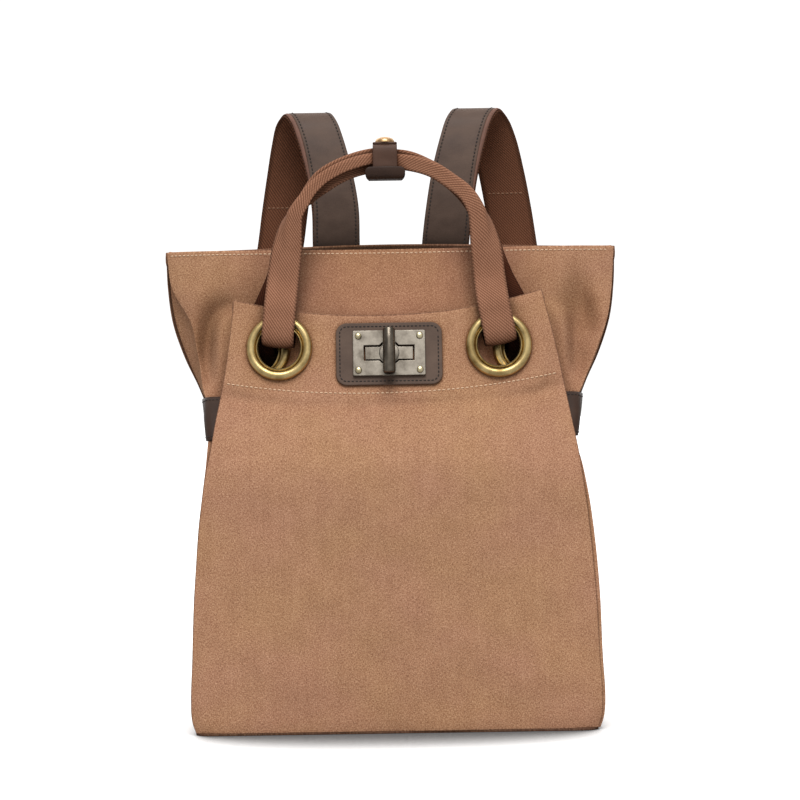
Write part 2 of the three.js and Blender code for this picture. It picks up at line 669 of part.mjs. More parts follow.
function handleGeometry(course) {
  const curve = new THREE.CatmullRomCurve3(course.map((row) => row.point));
  const last = course.length - 1;
  const arch = range(THREADING.length, last - THREADING.length, 2 * (last - 2 * THREADING.length));
  const legs = range(0, THREADING.length - 1, THREADING.length - 1);
  const places = [...legs, ...arch, ...legs.map((k) => last - k).reverse()];
  const stations = places.map((k) => {
    const i = Math.min(Math.floor(k), last - 1);
    const mixed = (name) => lerp(course[i][name], course[i + 1][name], k - i);
    const tangent = curve.getTangent(k / last);
    const heading = course[Math.round(k)].heading ?? tangent;
    const out = new THREE.Vector3(-heading.z, 0, heading.x).setLength(Math.cos(mixed("yaw")));
    out.y = Math.sin(mixed("yaw"));
    const back = new THREE.Vector3().crossVectors(out, tangent).normalize();
    out.crossVectors(tangent, back);
    return { centre: curve.getPoint(k / last), out, back, section: foldedSection(mixed("fold")) };
  });
  const face = (side) => (u, v) => {
    const { centre, out, back, section } = stations[v];
    const { a, n, facing } = section[u];
    const reach = (side * WEBBING) / 2;
    return centre
      .clone()
      .addScaledVector(out, a + reach * facing[0])
      .addScaledVector(back, n + reach * facing[1]);
  };
  return sheet([...FOLD_SHARES.keys()], [...stations.keys()], face(-1), face(1));
}

// Keeper: a leather band round both handles with a wider cradle below and its ends lapped under the snap
function keeperGeometry() {
  const middleY = (KEEPER.back + KEEPER.front) / 2;
  const prism = (grow, top, width) => {
    const wide = KEEPER.back - KEEPER.front + 2 * grow;
    const tall = top - KEEPER.bottom + grow;
    const shape = roundedBox({ wide, tall, corner: KEEPER.corner + grow });
    return extruded(shape, -width / 2, width / 2)
      .rotateY(Math.PI / 2)
      .rotateX(Math.PI / 2)
      .translate(KEEPER.x, middleY, (top + KEEPER.bottom - grow) / 2);
  };
  const lapped = KEEPER.top + KEEPER.lap;
  const band = prism(LEATHER, lapped, BAND_WIDTH);
  const ceiling = KEEPER.bottom + CRADLE.height;
  const above = new THREE.BoxGeometry(2 * CRADLE.width, 2 * CRADLE.width, 2 * CRADLE.width);
  above.translate(KEEPER.x, middleY, ceiling + CRADLE.width);
  const cradle = cut(prism(LEATHER, lapped, CRADLE.width), above);
  const hollow = prism(0, KEEPER.top, 2 * CRADLE.width);
  return cut(join(band, cradle), hollow);
}

function snapGeometry() {
  const foot = KEEPER.top + KEEPER.lap + GAP;
  const profile = SNAP_PROFILE.map(({ radius, up }) => [radius, foot + up]);
  return turned(profile, FACETS.snap).translate(KEEPER.x, (KEEPER.front + KEEPER.back) / 2, 0);
}

// Shoulder straps: two plies along one course, the leather outside and the webbing inside, level across
function strapGeometry({ name, sign }, { from, to, lastRow }) {
  const rows = STRAP_COURSE.map((row) => {
    const lift = sign > 0 ? row.lift : 0;
    return new THREE.Vector3(sign * row[name], row.y, row.z + lift);
  });
  const curve = new THREE.CatmullRomCurve3(rows);
  const last = rows.length - 1;
  const face = (offset) => (u, k) => {
    const outside = new THREE.Vector3().crossVectors(X_AXIS, curve.getTangent(k / last)).normalize();
    return curve
      .getPoint(k / last)
      .addScaledVector(X_AXIS, (u * STRAP_WIDTH) / 2)
      .addScaledVector(outside, offset);
  };
  return sheet([-1, 1], range(0, lastRow, lastRow * 2), face(from), face(to));
}

// Side tabs: bands that start on the front wall behind the panel, turn the corner and run along the gusset
function tabGeometry(sign) {
  const course = (z) => {
    const edge = sackHalf(sign, z);
    const onFront = [TAB.onFront, TAB.onFront / 2, 0].map((step) => {
      const x = sign * (edge - step);
      return { point: new THREE.Vector3(x, frontWall(x, z), z), normal: wallNormal(frontWall, x, z) };
    });
    const onSide = TAB.alongGusset.map((t) => {
      return { point: gussetPoint(sign, t, z), normal: gussetNormal(sign, t, z) };
    });
    const corner = onFront[2].normal;
    const side = gussetNormal(sign, 2 * STEP_SHARE, z);
    const mitre = 1 + corner.dot(side);
    corner.add(side).divideScalar(mitre);
    return [...onFront, ...onSide];
  };
  const face = (offset) => (i, z) => {
    const { point, normal } = course(z)[i];
    return point.addScaledVector(normal, offset);
  };
  const near = 1.5 * GAP;
  return sheet([...course(TAB.bottom).keys()], TAB_ROWS, face(near + LEATHER), face(near));
}

// The assembly
const bag = new THREE.Group();
bag.name = "backpack";

const materials = {};
for (const [name, color] of Object.entries(COLOURS)) {
  const metal = METAL.has(name);
  materials[name] = new THREE.MeshStandardMaterial({
    color,
    roughness: metal ? 0.35 : 0.8,
    metalness: metal ? 1 : 0,
  });
}

function add(parent, name, geometry, material) {
  const mesh = new THREE.Mesh(geometry, materials[material]);
  mesh.name = name;
  parent.add(mesh);
  return mesh;
}

function groupAt(frame) {
  const group = new THREE.Group();
  group.applyMatrix4(frame);
  bag.add(group);
  return group;
}

add(bag, "sack_front", cut(frontWallGeometry(), ...eyeletBores(frontWall, REAR_EYELET)), "canvas");
add(bag, "sack_back", backWallGeometry(), "canvas");
add(bag, "sack_base", baseGeometry(), "canvas");
add(bag, "front_panel", panelGeometry(), "canvas");
const frontCourse = handleCourse(panelWall, FRONT_EYELET, FRONT_LEGS, FRONT_ARCH);
const rearCourse = handleCourse(frontWall, REAR_EYELET, REAR_LEGS, REAR_ARCH);
add(bag, "handle_front", handleGeometry(frontCourse), "webbing");
add(bag, "handle_rear", handleGeometry(rearCourse), "webbing");
add(bag, "handle_keeper", keeperGeometry(), "leather");
add(bag, "keeper_snap", snapGeometry(), "brass");

for (const side of SIDES) {
  const { name, sign } = side;
  add(bag, `gusset_${name}`, gussetGeometry(sign), "canvas");
  add(bag, `side_tab_${name}`, tabGeometry(sign), "darkLeather");
  add(bag, `strap_leather_${name}`, strapGeometry(side, LEATHER_PLY), "leather");
  add(bag, `strap_webbing_${name}`, strapGeometry(side, WEBBING_PLY), "webbing");
  const front = groupAt(wallFrame(panelWall, eyeletX(FRONT_EYELET, sign), FRONT_EYELET.z));
  add(front, `eyelet_front_${name}`, turned(EYELET_PROFILE, FACETS.frontEyelet), "brass");
  const rear = groupAt(wallFrame(frontWall, eyeletX(REAR_EYELET, sign), REAR_EYELET.z));
  add(rear, `eyelet_rear_${name}`, turned(EYELET_PROFILE, FACETS.rearEyelet), "brass");
}

const lock = groupAt(wallFrame(panelWall, PANEL_SHIFT, LOCK_HEIGHT));
add(lock, "lock_patch", extruded(slotted(roundedBox(PATCH)), PATCH_FOOT, PATCH_FOOT + LEATHER), "leather");
add(lock, "lock_plate", extruded(slotted(roundedBox(PLATE)), PLATE_FOOT, PLATE_FACE), "nickel");
add(lock, "lock_post", postGeometry(), "nickel");
add(lock, "lock_bar", barGeometry(), "nickel");
for (const { name, sign } of SIDES) {
  for (const [row, up] of [["top", RIVET.up], ["bottom", -RIVET.up]]) {
    add(lock, `lock_rivet_${row}_${name}`, rivetGeometry(), "brass").position.set(sign * RIVET.x, up, 0);
  }
}

export default bag;
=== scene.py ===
# Looks of the canvas and leather backpack. The cloth, webbing and leather pieces are lofted from the same
# named sizes as the solids, at a finer pitch, with hems, folds, stitches and woven or grained finishes.
# Sizes are in millimetres until a mesh is made. +Z is up and the front faces -Y.

import math
from collections import namedtuple

import bpy
import numpy as np
from mathutils import Matrix


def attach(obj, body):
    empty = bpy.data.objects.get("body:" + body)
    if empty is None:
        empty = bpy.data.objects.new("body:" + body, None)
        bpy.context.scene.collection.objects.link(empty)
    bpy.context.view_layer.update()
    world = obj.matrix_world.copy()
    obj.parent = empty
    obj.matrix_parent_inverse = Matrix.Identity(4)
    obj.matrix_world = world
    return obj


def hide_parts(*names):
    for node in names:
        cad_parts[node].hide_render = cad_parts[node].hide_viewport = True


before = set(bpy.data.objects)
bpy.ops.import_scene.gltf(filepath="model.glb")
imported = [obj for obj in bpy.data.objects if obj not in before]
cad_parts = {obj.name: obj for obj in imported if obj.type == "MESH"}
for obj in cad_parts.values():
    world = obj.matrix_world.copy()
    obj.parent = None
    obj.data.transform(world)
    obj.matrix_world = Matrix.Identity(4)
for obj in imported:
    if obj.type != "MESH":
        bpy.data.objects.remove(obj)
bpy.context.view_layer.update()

MM = 0.001
SIDES = {"left": -1, "right": 1}

# Cloth and leather thicknesses, and the gap kept between neighbouring pieces
CANVAS = 1.6
WEBBING = 2.2
LEATHER = 2.0
GAP = 0.35

# Heights of the sack, its base, and the back's plane. The front hem sags in its middle, the back hem rises
WALL_FOOT = 2.35
HEM_HEIGHT = 400
HEM_SAG = 2.2
BACK_RISE = 3.8
BACK_Y = 65
BASE = {"wide": 330, "tall": 127.5, "corner": 14, "thick": 2, "bevel": 0.7, "middle_y": 1.25}

# Hems: how far the turned cloth reaches, where it starts to thin out, how thick it is, how far below the edge
# it is sewn, and how far from the front's sides and which share of the way across the back the row stops
HEM_REACH = 9
HEM_FADE = 1.5
HEM_THICKNESS = 3
HEM_STITCH = 2.2
HEM_ROW = {"inset": 2, "back_share": 0.98}

# Points across and up each wall, and along the rows that are sewn
GRID = {"front": (150, 156), "back": (100, 106), "gusset": (26, 156), "panel": (138, 152)}
ROW_POINTS = {"hem": 200, "gusset": 40, "facing": 240, "strap": 20}


class Table:
    """Rows of named columns, read at any height on a smooth curve through the rows."""

    def __init__(self, names, *rows):
        self.columns = dict(zip(names.split(), np.array(rows, float).T))

    def at(self, column, z):
        heights = self.columns["z"]
        values = self.columns[column]
        secants = np.diff(values) / np.diff(heights)
        turning = secants[:-1] * secants[1:] <= 0
        inner = np.where(turning, 0, (secants[:-1] + secants[1:]) / 2)
        slopes = np.concatenate([secants[:1], inner, secants[-1:]])
        i = np.clip(np.searchsorted(heights, z, side="right") - 1, 0, len(heights) - 2)
        span = heights[i + 1] - heights[i]
        t = (z - heights[i]) / span
        rise = values[i + 1] - values[i]
        bend = (slopes[i] * span - rise) * (1 - t) - (slopes[i + 1] * span - rise) * t
        return values[i] + rise * t + t * (1 - t) * bend


# The sack by height: half-widths of the front wall and of the back wall, depth of the front wall at its
# middle and its edges, how square its section is, and how far the gussets swell
SACK = Table(
    "z left right back middle edge square swell",
    (2, 164, 166, 165, -60.5, -54, 10, 0),
    (12, 167, 169, 168, -61.5, -55, 10, 0.5),
    (30, 167.5, 170, 168.5, -61.5, -56, 10, 1),
    (60, 166, 168.5, 167.5, -60, -56, 9, 2.5),
    (120, 163, 166.5, 165.5, -54.5, -54, 8, 3),
    (180, 158.2, 161.5, 161.5, -44.5, -44, 6, 3),
    (215, 154.5, 156, 158, -36, -35, 5, 2),
    (240, 152.5, 151, 155.5, -29.7, -25, 4, 0.5),
    (262, 151.5, 151, 157, -24.5, -10, 3, 0),
    (285, 159, 160.5, 165, -21, 10, 2.5, -1.5),
    (310, 163.5, 172, 176.5, -18, 30, 2.2, -3),
    (340, 170, 183.5, 186.5, -10, 45, 2.2, -4),
    (370, 186.5, 188.6, 190.5, 2, 53, 2.1, -3),
    (400, 190.5, 190.5, 191.5, 13, 56, 2.1, -2),
)

# The front panel by height: half-width, how far it hangs to one side, and clearance in front of the sack at
# its middle and its edges. The right-hand corner of its top stands above the left by twice the tilt
PANEL = Table(
    "z half shift middle_gap edge_gap",
    (2, 164, 0, 0.7, 0.7),
    (12, 167, 0, 1.2, 0.7),
    (30, 167.6, 0, 2.5, 0.7),
    (60, 166.2, 0, 6, 0.7),
    (120, 163.4, 0, 11.5, 0.7),
    (180, 158.6, 0, 16.5, 0.7),
    (215, 154.2, 0.2, 15, 0.8),
    (232, 151.2, 0.8, 12.5, 1.5),
    (262, 145.8, 0.6, 9, 10),
    (288, 140.6, 0.7, 6, 22),
    (316, 135.4, 0, 4, 31),
    (359, 127.5, -2.6, 6, 34),
)
PANEL_TOP = 359
PANEL_DIP = 17
PANEL_DIP_POWER = 2.2
PANEL_TILT = 2.6
PANEL_SHIFT = -2

# Folds of the cloth: oval hollows (positive depth) and swellings (negative), each leaning by its turn
Fold = namedtuple("Fold", "x z wide tall turn depth")
WING_DENTS = [
    Fold(-176, 350, 20, 30, 0, -4),
    Fold(-157, 300, 14, 16, 0, 8.5),
    Fold(-154, 322, 13, 28, 0.15, 14),
    Fold(-140, 349, 12, 14, 0.7, 5),
    Fold(184, 348, 18, 34, 0, -4),
    Fold(160, 302, 13, 14, 0, 6),
    Fold(161, 344, 15, 28, -0.15, 15),
    Fold(150, 316, 12, 24, -0.2, 7),
]
PANEL_FOLDS = [
    Fold(-6, 229, 130, 31, 0, -4),
    Fold(40, 331, 5, 22, -0.5, 0.8),
]

# The stitch line of the panel's facing: its place up the panel, its sag, and the crease in the cloth below it
FACING = {"level": 0.8088, "sag": 3.7, "tilt": 1.3, "row_share": 0.985}
CREASE = {"below": 11, "tall": 7, "depth": 1.9, "points": 81}

# Slow waves of slack cloth: wavelength, direction, phase and height
Wave = namedtuple("Wave", "length direction phase height")
SLACK = [
    Wave(97, 0.3, 0.4, 0.35),
    Wave(71, 1.2, 2.1, 0.3),
    Wave(53, 2.2, 4.0, 0.22),
    Wave(38, 0.9, 5.2, 0.14),
    Wave(29, 2.8, 1.3, 0.1),
]
PANEL_SLACK_SHIFT = 31
BACK_SLACK = {"half_width": 170, "share": 0.6}

# Gussets: how far their cloth and their row of stitches stop from the corners, and their share of the slack
GUSSET = {"seam": CANVAS * 0.8, "row_seam": 4, "slack": 0.5}

# Eyelets on the front panel and on the sack's front wall
FRONT_EYELET = {"x": 91, "z": 316.5, "shift": PANEL_SHIFT}
REAR_EYELET = {"x": 110, "z": 312, "shift": 0}
EYELET_FLAT = 33
EYELET_HOLE = 22
FLAT_FADE = 1.4
FLAT_SQUARE = 4
EYELET_BACK = -CANVAS - GAP
EYELET_END = EYELET_BACK - 2
EYELET_RING = {"middle": 23.6, "half": 3.9, "height": 4.45, "blunt": 0.85, "start": 15, "steps": 16}
EYELET_PROFILE = [
    # radius, height above the cloth: the inner lip, the ring and the washer behind the cloth
    (17.7, EYELET_END), (17.7, 0.6), (17.75, 2.6), (18, 3.6), (18.5, 4), (19, 3.8), (19.35, 3.1), (19.7, 2.7),
    *(
        (
            EYELET_RING["middle"] - EYELET_RING["half"] * math.cos(turn),
            GAP + EYELET_RING["height"] * math.sin(turn) ** EYELET_RING["blunt"],
        )
        for turn in np.linspace(math.radians(EYELET_RING["start"]), math.pi, EYELET_RING["steps"])
    ),
    (23, GAP), (18.9, GAP), (18.9, EYELET_BACK), (25.5, EYELET_BACK), (25, EYELET_END), (17.7, EYELET_END),
]

# Turn lock, measured in the plane of the panel
LOCK_HEIGHT = 310
LOCK_FLAT = {"wide": 49, "tall": 31}
LOCK_HOLE = 14
PATCH = {"wide": 88, "tall": 53, "corner": 9, "thick": LEATHER, "bevel": 0.7}
PATCH_STITCH = 3.2
PLATE = {"wide": 60, "tall": 38.5, "corner": 1.2, "thick": 2.4, "bevel": 0.45}
SLOT = {"half": 20.9, "tall": 6.5, "bulge": 10.3}
SLOT_CLEARANCE = 1.2
RIVET = {"x": 25.4, "up": 14.5, "radius": 2.8, "height": 1.7, "foot": 0.3, "tip": 0.03, "steps": 8}
FLANGE = {"wide": 54, "tall": 27, "corner": 3, "thick": 1.4, "bevel": 0.3}
COLLAR_PROFILE = [
    # radius, height above the boss
    (3.9, -1), (3.9, 1), (4.2, 1.3), (7.6, 1.3), (8.2, 1), (8.4, 0.4), (8.4, -0.5),
]
BAR = {"length": 38.4, "stand": 8.2, "stem": 3.5, "stem_depth": 3}
BAR_END = [
    # radius, distance from the end
    (0.05, 0), (3.85, 0), (4.25, 0.15), (4.95, 1), (5.15, 1.8),
]
PLATE_FOOT = GAP + LEATHER + GAP
PLATE_FACE = PLATE_FOOT + PLATE["thick"]
BOSS_SUNK = 0.8
BOSS_FACE = PLATE_FACE - BOSS_SUNK
POST_FOOT = -5.2
BOSS = {"thick": BOSS_FACE - POST_FOOT, "bevel": 0.3}
BAR_AXIS = PLATE_FACE + BAR["stand"]

# Facets round each turned piece, and the angles in degrees past which an edge stays sharp
FACETS = {"eyelet": 96, "collar": 96, "bar": 48, "stem": 40, "rivet": 32, "snap": 64}
SHARP = {"turned": 45, "bar": 30, "slab": 35}

# Steps round the edges of flat pieces, and points that measure the length of a curve
BEVEL_STEPS = 3
CURVE_POINTS = 6000

# Handles: width, fold, and course from the tail sewn up behind the wall, through the eyelet (up and out from
# its middle) and over the arch. Fold is the share of a full fold, and inset what the right leg runs nearer
# the middle. The webbing cups at a place in its course, counted from either end, and in its left half the
# fold lies off its middle by the lower ply
HANDLE_WIDTH = 27
FOLD_HALF_LENGTH = 3.2
FULL_FOLD = math.radians(174)
HANDLE_CUP = {"depth": 1.6, "place": 6.2, "reach": 2}
LOWER_PLY = 3.5
HANDLE_GRID = {"across": 27, "pitch": 1.5, "even": 0.55}
THREADING = [
    # up, out
    (29, -4.3), (26, -5.6), (20, -6.9), (13, -8.3), (7, -8.1), (3.6, -5.2), (3, -1), (4.4, 3), (8.6, 6.2),
    (15.5, 7.8), (24, 8), (34, 8),
]
FRONT_ARCH = [
    # x, y, z, fold, inset
    (87.5, -13.6, 372, 0.04, 3),
    (84.5, -10.5, 397, 0.14, 2.8),
    (80, -7.5, 421, 0.42, 3.3),
    (68.2, -6, 441.5, 0.8, 1.5),
    (52.5, -5.2, 455, 1, 1.6),
    (36.5, -5, 464, 1, 0),
    (18.5, -5, 469.3, 1, 0),
    (0, -5, 471, 1, 0),
]
REAR_ARCH = [
    # x, y, z, fold, inset
    (92.3, 5, 374, 0.04, 1.7),
    (86, 8, 399, 0.14, 4),
    (81.5, 11.5, 421.5, 0.42, 5),
    (69.2, 10.5, 442.6, 0.8, 5.5),
    (54.5, 5.4, 458.8, 1, 8.5),
    (37, 4.4, 468.2, 1, 7),
    (18.5, 4.4, 473.9, 1, 2.5),
    (0, 4.4, 475.5, 1, 0),
]
FRONT_LEGS = {"left": {"aside": 1.5, "lean": 0.1}, "right": {"aside": 2.5, "lean": 0.2}}
REAR_LEGS = {"left": {"aside": 0, "lean": 0.28}, "right": {"aside": 0, "lean": 0.28}}

# Keeper: the course of its strap round both handles, from the end under the snap and back over it, and the
# wider cradle sewn round the bottom of it
KEEPER_X = -3
KEEPER_HALF = 9.2
CRADLE_THICKNESS = 1.6
BAND_GRID = {"across": 15, "along": 150}
KEEPER_COURSE = [
    # y, z
    (6, 484.2), (-5, 484.4), (-9.6, 483.4), (-11, 480), (-11, 472), (-11.2, 465), (-11, 461.6),
    (-9.4, 459.5), (-4, 459), (4, 459), (9, 459.5), (10.7, 461.6), (10.8, 465), (10.6, 480), (9.8, 484.6),
    (5, 486.4), (-6.5, 486.4),
]
CRADLE_COURSE = [
    # y, z, half width
    (-13.3, 466, 13), (-13.5, 464.8, 15), (-13.5, 462.2, 16), (-12.7, 459, 15.2), (-9.8, 457.1, 13.6),
    (-4, 456.7, 13), (4, 456.7, 13), (9.8, 457.1, 13.6), (12.5, 459, 15.2), (13.2, 462.2, 16),
    (13.2, 464.8, 15), (13, 466, 13),
]
SNAP_Y = -0.2
SNAP_FOOT = 487.5
SNAP_PROFILE = [
    # radius, height
    (8, 0), (8, 1), (7.6, 1.7), (6.9, 2.9), (6.4, 3.2), (5.8, 3.1), (4, 4.2), (2, 4.6), (0.05, 4.7),
]

# Shoulder straps: course of the joint between leather and webbing, with each side's distance from the middle.
# The leather stops short of the webbing's outer edge, more over the arch than at the root. Seams are heights,
# and starts, lasts and the arch's top are places in the course
STRAP_WIDTH = 38.5
STRAP_LEATHER = {"thick": 1.8, "last": 11, "stitch": 2.2}
LEATHER_BARE = {"places": [2.5, 5], "widths": [0.8, 4.4]}
EDGE_BAND = {"thick": 1.2, "start": 3.1, "inset": 0.3, "crown": 0.5}
CROSS_SEAM = {"left": 443, "right": 452}
ROOT_SEAMS = [356, 379]
FOOT_SEAMS = [48, 68]
SEAM_INSET = 3
ARCH_TOP = 7
STRAP_GRID = {"webbing": 15, "leather": 13, "band": 7, "pitch": 2.4}
STRAP_COURSE = [
    # left, right, y, z, lift
    (46, 46, 67.3, 352, 0),
    (46, 46.5, 67.3, 382, 0),
    (46.3, 47.8, 67.6, 407, 0),
    (46.8, 51.8, 70, 438, 0.4),
    (51.5, 57.2, 75, 468, 1),
    (58.5, 64.5, 82, 496, 1.6),
    (64.5, 70.5, 89, 513, 2),
    (71, 77.5, 100, 521, 2),
    (77.5, 84.5, 111, 514.5, 2),
    (82, 91.5, 119, 498, 1.6),
    (86.8, 98, 126, 472, 1),
    (92, 104, 129, 440, 0.4),
    (97, 109, 128, 405, 0),
    (109.6, 117.2, 122, 345, 0),
    (122.5, 127.2, 110, 265, 0),
    (134.4, 136.3, 93, 175, 0),
    (142, 142, 76, 108, 0),
    (145, 145, 68.4, 74, 0),
    (146, 146, 67.9, 44, 0),
]

# Side tabs: heights, reach onto the front wall, distance kept from the corner, shares of the gusset where
# they start and end, and how far they bow out
TAB = {"bottom": 241, "top": 275, "on_front": 13, "corner": 0.6, "start": 0.02, "end": 0.97, "bow": 0.8}
TAB_GRID = {"up": 16, "front": 7, "side": 24, "smoothings": 3}
TAB_STITCH = 2.2
TAB_STAND = 1.5 * GAP + LEATHER

# Stitches: length, spacing from start to start, and half-thickness. Each is a flattened tube with blunt ends,
# lifted a little out of the cloth
CANVAS_STITCH = {"length": 2.8, "pitch": 3.9, "radius": 0.55}
LEATHER_STITCH = {"length": 2.3, "pitch": 3.3, "radius": 0.55}
STITCH = {"rings": 6, "sides": 6, "blunt": 0.6, "flat": 0.8, "lift": 0.15}

# Camera: focal length in pixels of the 800-pixel frame, how far it sees, place and roll
FRAME_PX = 800
FOCAL_PX = 2947
SENSOR = 36
SIGHT = 200
CAMERA_PLACE = (0.0064, -2.465, 0.2719)
CAMERA_ROLL = math.radians(-0.9)


def stacked(*coordinates):
    """Points from their coordinates, spread over a common grid."""
    return np.stack(np.broadcast_arrays(*coordinates), axis=-1)


def unit(vectors):
    return vectors / np.linalg.norm(vectors, axis=-1, keepdims=True)


# Depth of the sack's front wall and of the front panel
def folds(rows, x, z):
    depth = np.zeros(np.broadcast(x, z).shape)
    for row in rows:
        across = (x - row.x) * math.cos(row.turn) - (z - row.z) * math.sin(row.turn)
        along = (x - row.x) * math.sin(row.turn) + (z - row.z) * math.cos(row.turn)
        depth = depth + row.depth * np.exp(-((across / row.wide) ** 2) - (along / row.tall) ** 2)
    return depth


def slack(x, z):
    depth = np.zeros(np.broadcast(x, z).shape)
    for wave in SLACK:
        along = x * math.cos(wave.direction) + z * math.sin(wave.direction)
        depth = depth + wave.height * np.sin(2 * math.pi * along / wave.length + wave.phase)
    return depth


def sack_half(x, z):
    return np.where(np.asarray(x) < 0, SACK.at("left", z), SACK.at("right", z))


def sack_plain(x, z):
    share = np.abs(x / sack_half(x, z)) ** SACK.at("square", z)
    middle = SACK.at("middle", z)
    return middle + (SACK.at("edge", z) - middle) * share


def sack_solid(x, z):
    return sack_plain(x, z) + folds(WING_DENTS, x, z)


def panel_solid(x, z):
    share = (x / PANEL.at("half", z)) ** 2
    middle = PANEL.at("middle_gap", z)
    return sack_plain(x, z) - CANVAS - middle - (PANEL.at("edge_gap", z) - middle) * share


def sack_cloth(x, z):
    return sack_solid(x, z) + slack(x, z)


def panel_place(u, v):
    """A place on the panel, whose rows dip in the middle more and more towards the top."""
    level = WALL_FOOT + (PANEL_TOP - WALL_FOOT) * v
    dip = PANEL_DIP * (1 - np.abs(u) ** PANEL_DIP_POWER) * v**3
    return u * PANEL.at("half", level) + PANEL.at("shift", level), level - dip + PANEL_TILT * u * v**3


def facing_row(u):
    x, z = panel_place(u, FACING["level"])
    return x, z - FACING["sag"] * (1 - u**2) + FACING["tilt"] * u


def panel_cloth(x, z):
    row_x, row_z = facing_row(np.linspace(-1, 1, CREASE["points"]))
    below = np.interp(x, row_x, row_z) - CREASE["below"]
    crease = CREASE["depth"] * np.exp(-(((z - below) / CREASE["tall"]) ** 2))
    return panel_solid(x, z) + folds(PANEL_FOLDS, x, z) + crease + slack(x + PANEL_SLACK_SHIFT, z)


def wall_normal(wall, x, z, step=0.5):
    slope_x = (wall(x + step, z) - wall(x - step, z)) / (2 * step)
    slope_z = (wall(x, z + step) - wall(x, z - step)) / (2 * step)
    return unit(stacked(slope_x, -1, slope_z))


def flattened(cloth, solid, spots):
    """The cloth pressed flat, at its solid's tangent plane, round each fitting."""

    def wall(x, z):
        y = cloth(x, z)
        for spot in spots:
            normal = wall_normal(solid, spot["x"], spot["z"])
            plane = solid(spot["x"], spot["z"])
            plane = plane - (normal[0] * (x - spot["x"]) + normal[2] * (z - spot["z"])) / normal[1]
            aside = ((x - spot["x"]) / spot["wide"]) ** FLAT_SQUARE
            above = ((z - spot["z"]) / spot["tall"]) ** FLAT_SQUARE
            away = (aside + above) ** (1 / FLAT_SQUARE)
            t = np.clip((away - 1) / (FLAT_FADE - 1), 0, 1)
            y = plane + (y - plane) * t * t * (3 - 2 * t)
        return y

    return wall


def eyelet_x(eyelet, sign):
    return sign * eyelet["x"] + eyelet["shift"]


def eyelet_spots(eyelet):
    flat = {"z": eyelet["z"], "wide": EYELET_FLAT, "tall": EYELET_FLAT}
    return [{"x": eyelet_x(eyelet, sign), **flat} for sign in SIDES.values()]


lock_spot = {"x": PANEL_SHIFT, "z": LOCK_HEIGHT, **LOCK_FLAT}
sack_spots = eyelet_spots(REAR_EYELET)
panel_spots = [lock_spot, *eyelet_spots(FRONT_EYELET)]
sack_seat = flattened(sack_solid, sack_solid, sack_spots)
panel_seat = flattened(panel_solid, panel_solid, panel_spots)
sack_wall = flattened(sack_cloth, sack_solid, sack_spots)
panel_wall = flattened(panel_cloth, panel_solid, panel_spots)


def wall_frame(wall, x, z):
    """A frame on a wall: x to the right, y up the wall and z out of it."""
    out = wall_normal(wall, x, z)
    right = unit(np.array([1.0, 0, 0]) - out[0] * out)
    made = np.eye(4)
    made[:3, 0] = right
    made[:3, 1] = np.cross(out, right)
    made[:3, 2] = out
    made[:3, 3] = (x, wall(x, z), z)
    return made


def off_wall(wall, x, z, out):
    return np.array([x, wall(x, z), z]) + out * wall_normal(wall, x, z)


# Meshes. A wall has its own finish on its face, on its rim and on its inside
FACE, RIM, INSIDE = range(3)


def set_uv(mesh, places):
    """Cloth coordinates in metres, from a place in millimetres for each point."""
    corners = np.empty(len(mesh.loops), int)
    mesh.loops.foreach_get("vertex_index", corners)
    layer = mesh.uv_layers.active or mesh.uv_layers.new(name="weave")
    layer.data.foreach_set("uv", (places[corners] * MM).ravel())


def make_mesh(name, points, faces, uv, sharp=None):
    """A smooth mesh in metres from points in millimetres, without the points that no face uses."""
    used, faces = np.unique(faces, return_inverse=True)
    mesh = bpy.data.meshes.new(name)
    mesh.from_pydata((points[used] * MM).tolist(), [], faces.reshape(-1, 4).tolist())
    set_uv(mesh, uv[used])
    mesh.shade_smooth()
    if sharp is not None:
        mesh.set_sharp_from_angle(angle=math.radians(sharp))
    return mesh


def add_object(name, data):
    made = bpy.data.objects.new(name, data)
    bpy.context.scene.collection.objects.link(made)
    return made


def add_piece(mesh, finish, slot, nodes=(), body="bag"):
    piece = add_object(mesh.name, mesh)
    mesh.materials.append(finish)
    mesh.materials.append(RIMS.get(finish.name, finish))
    mesh.materials.append(INSIDES.get(finish.name, finish))
    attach(piece, body)
    if nodes:
        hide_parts(*nodes)
    return piece


def grid_normals(grid):
    return unit(np.cross(np.gradient(grid, axis=1), np.gradient(grid, axis=0)))


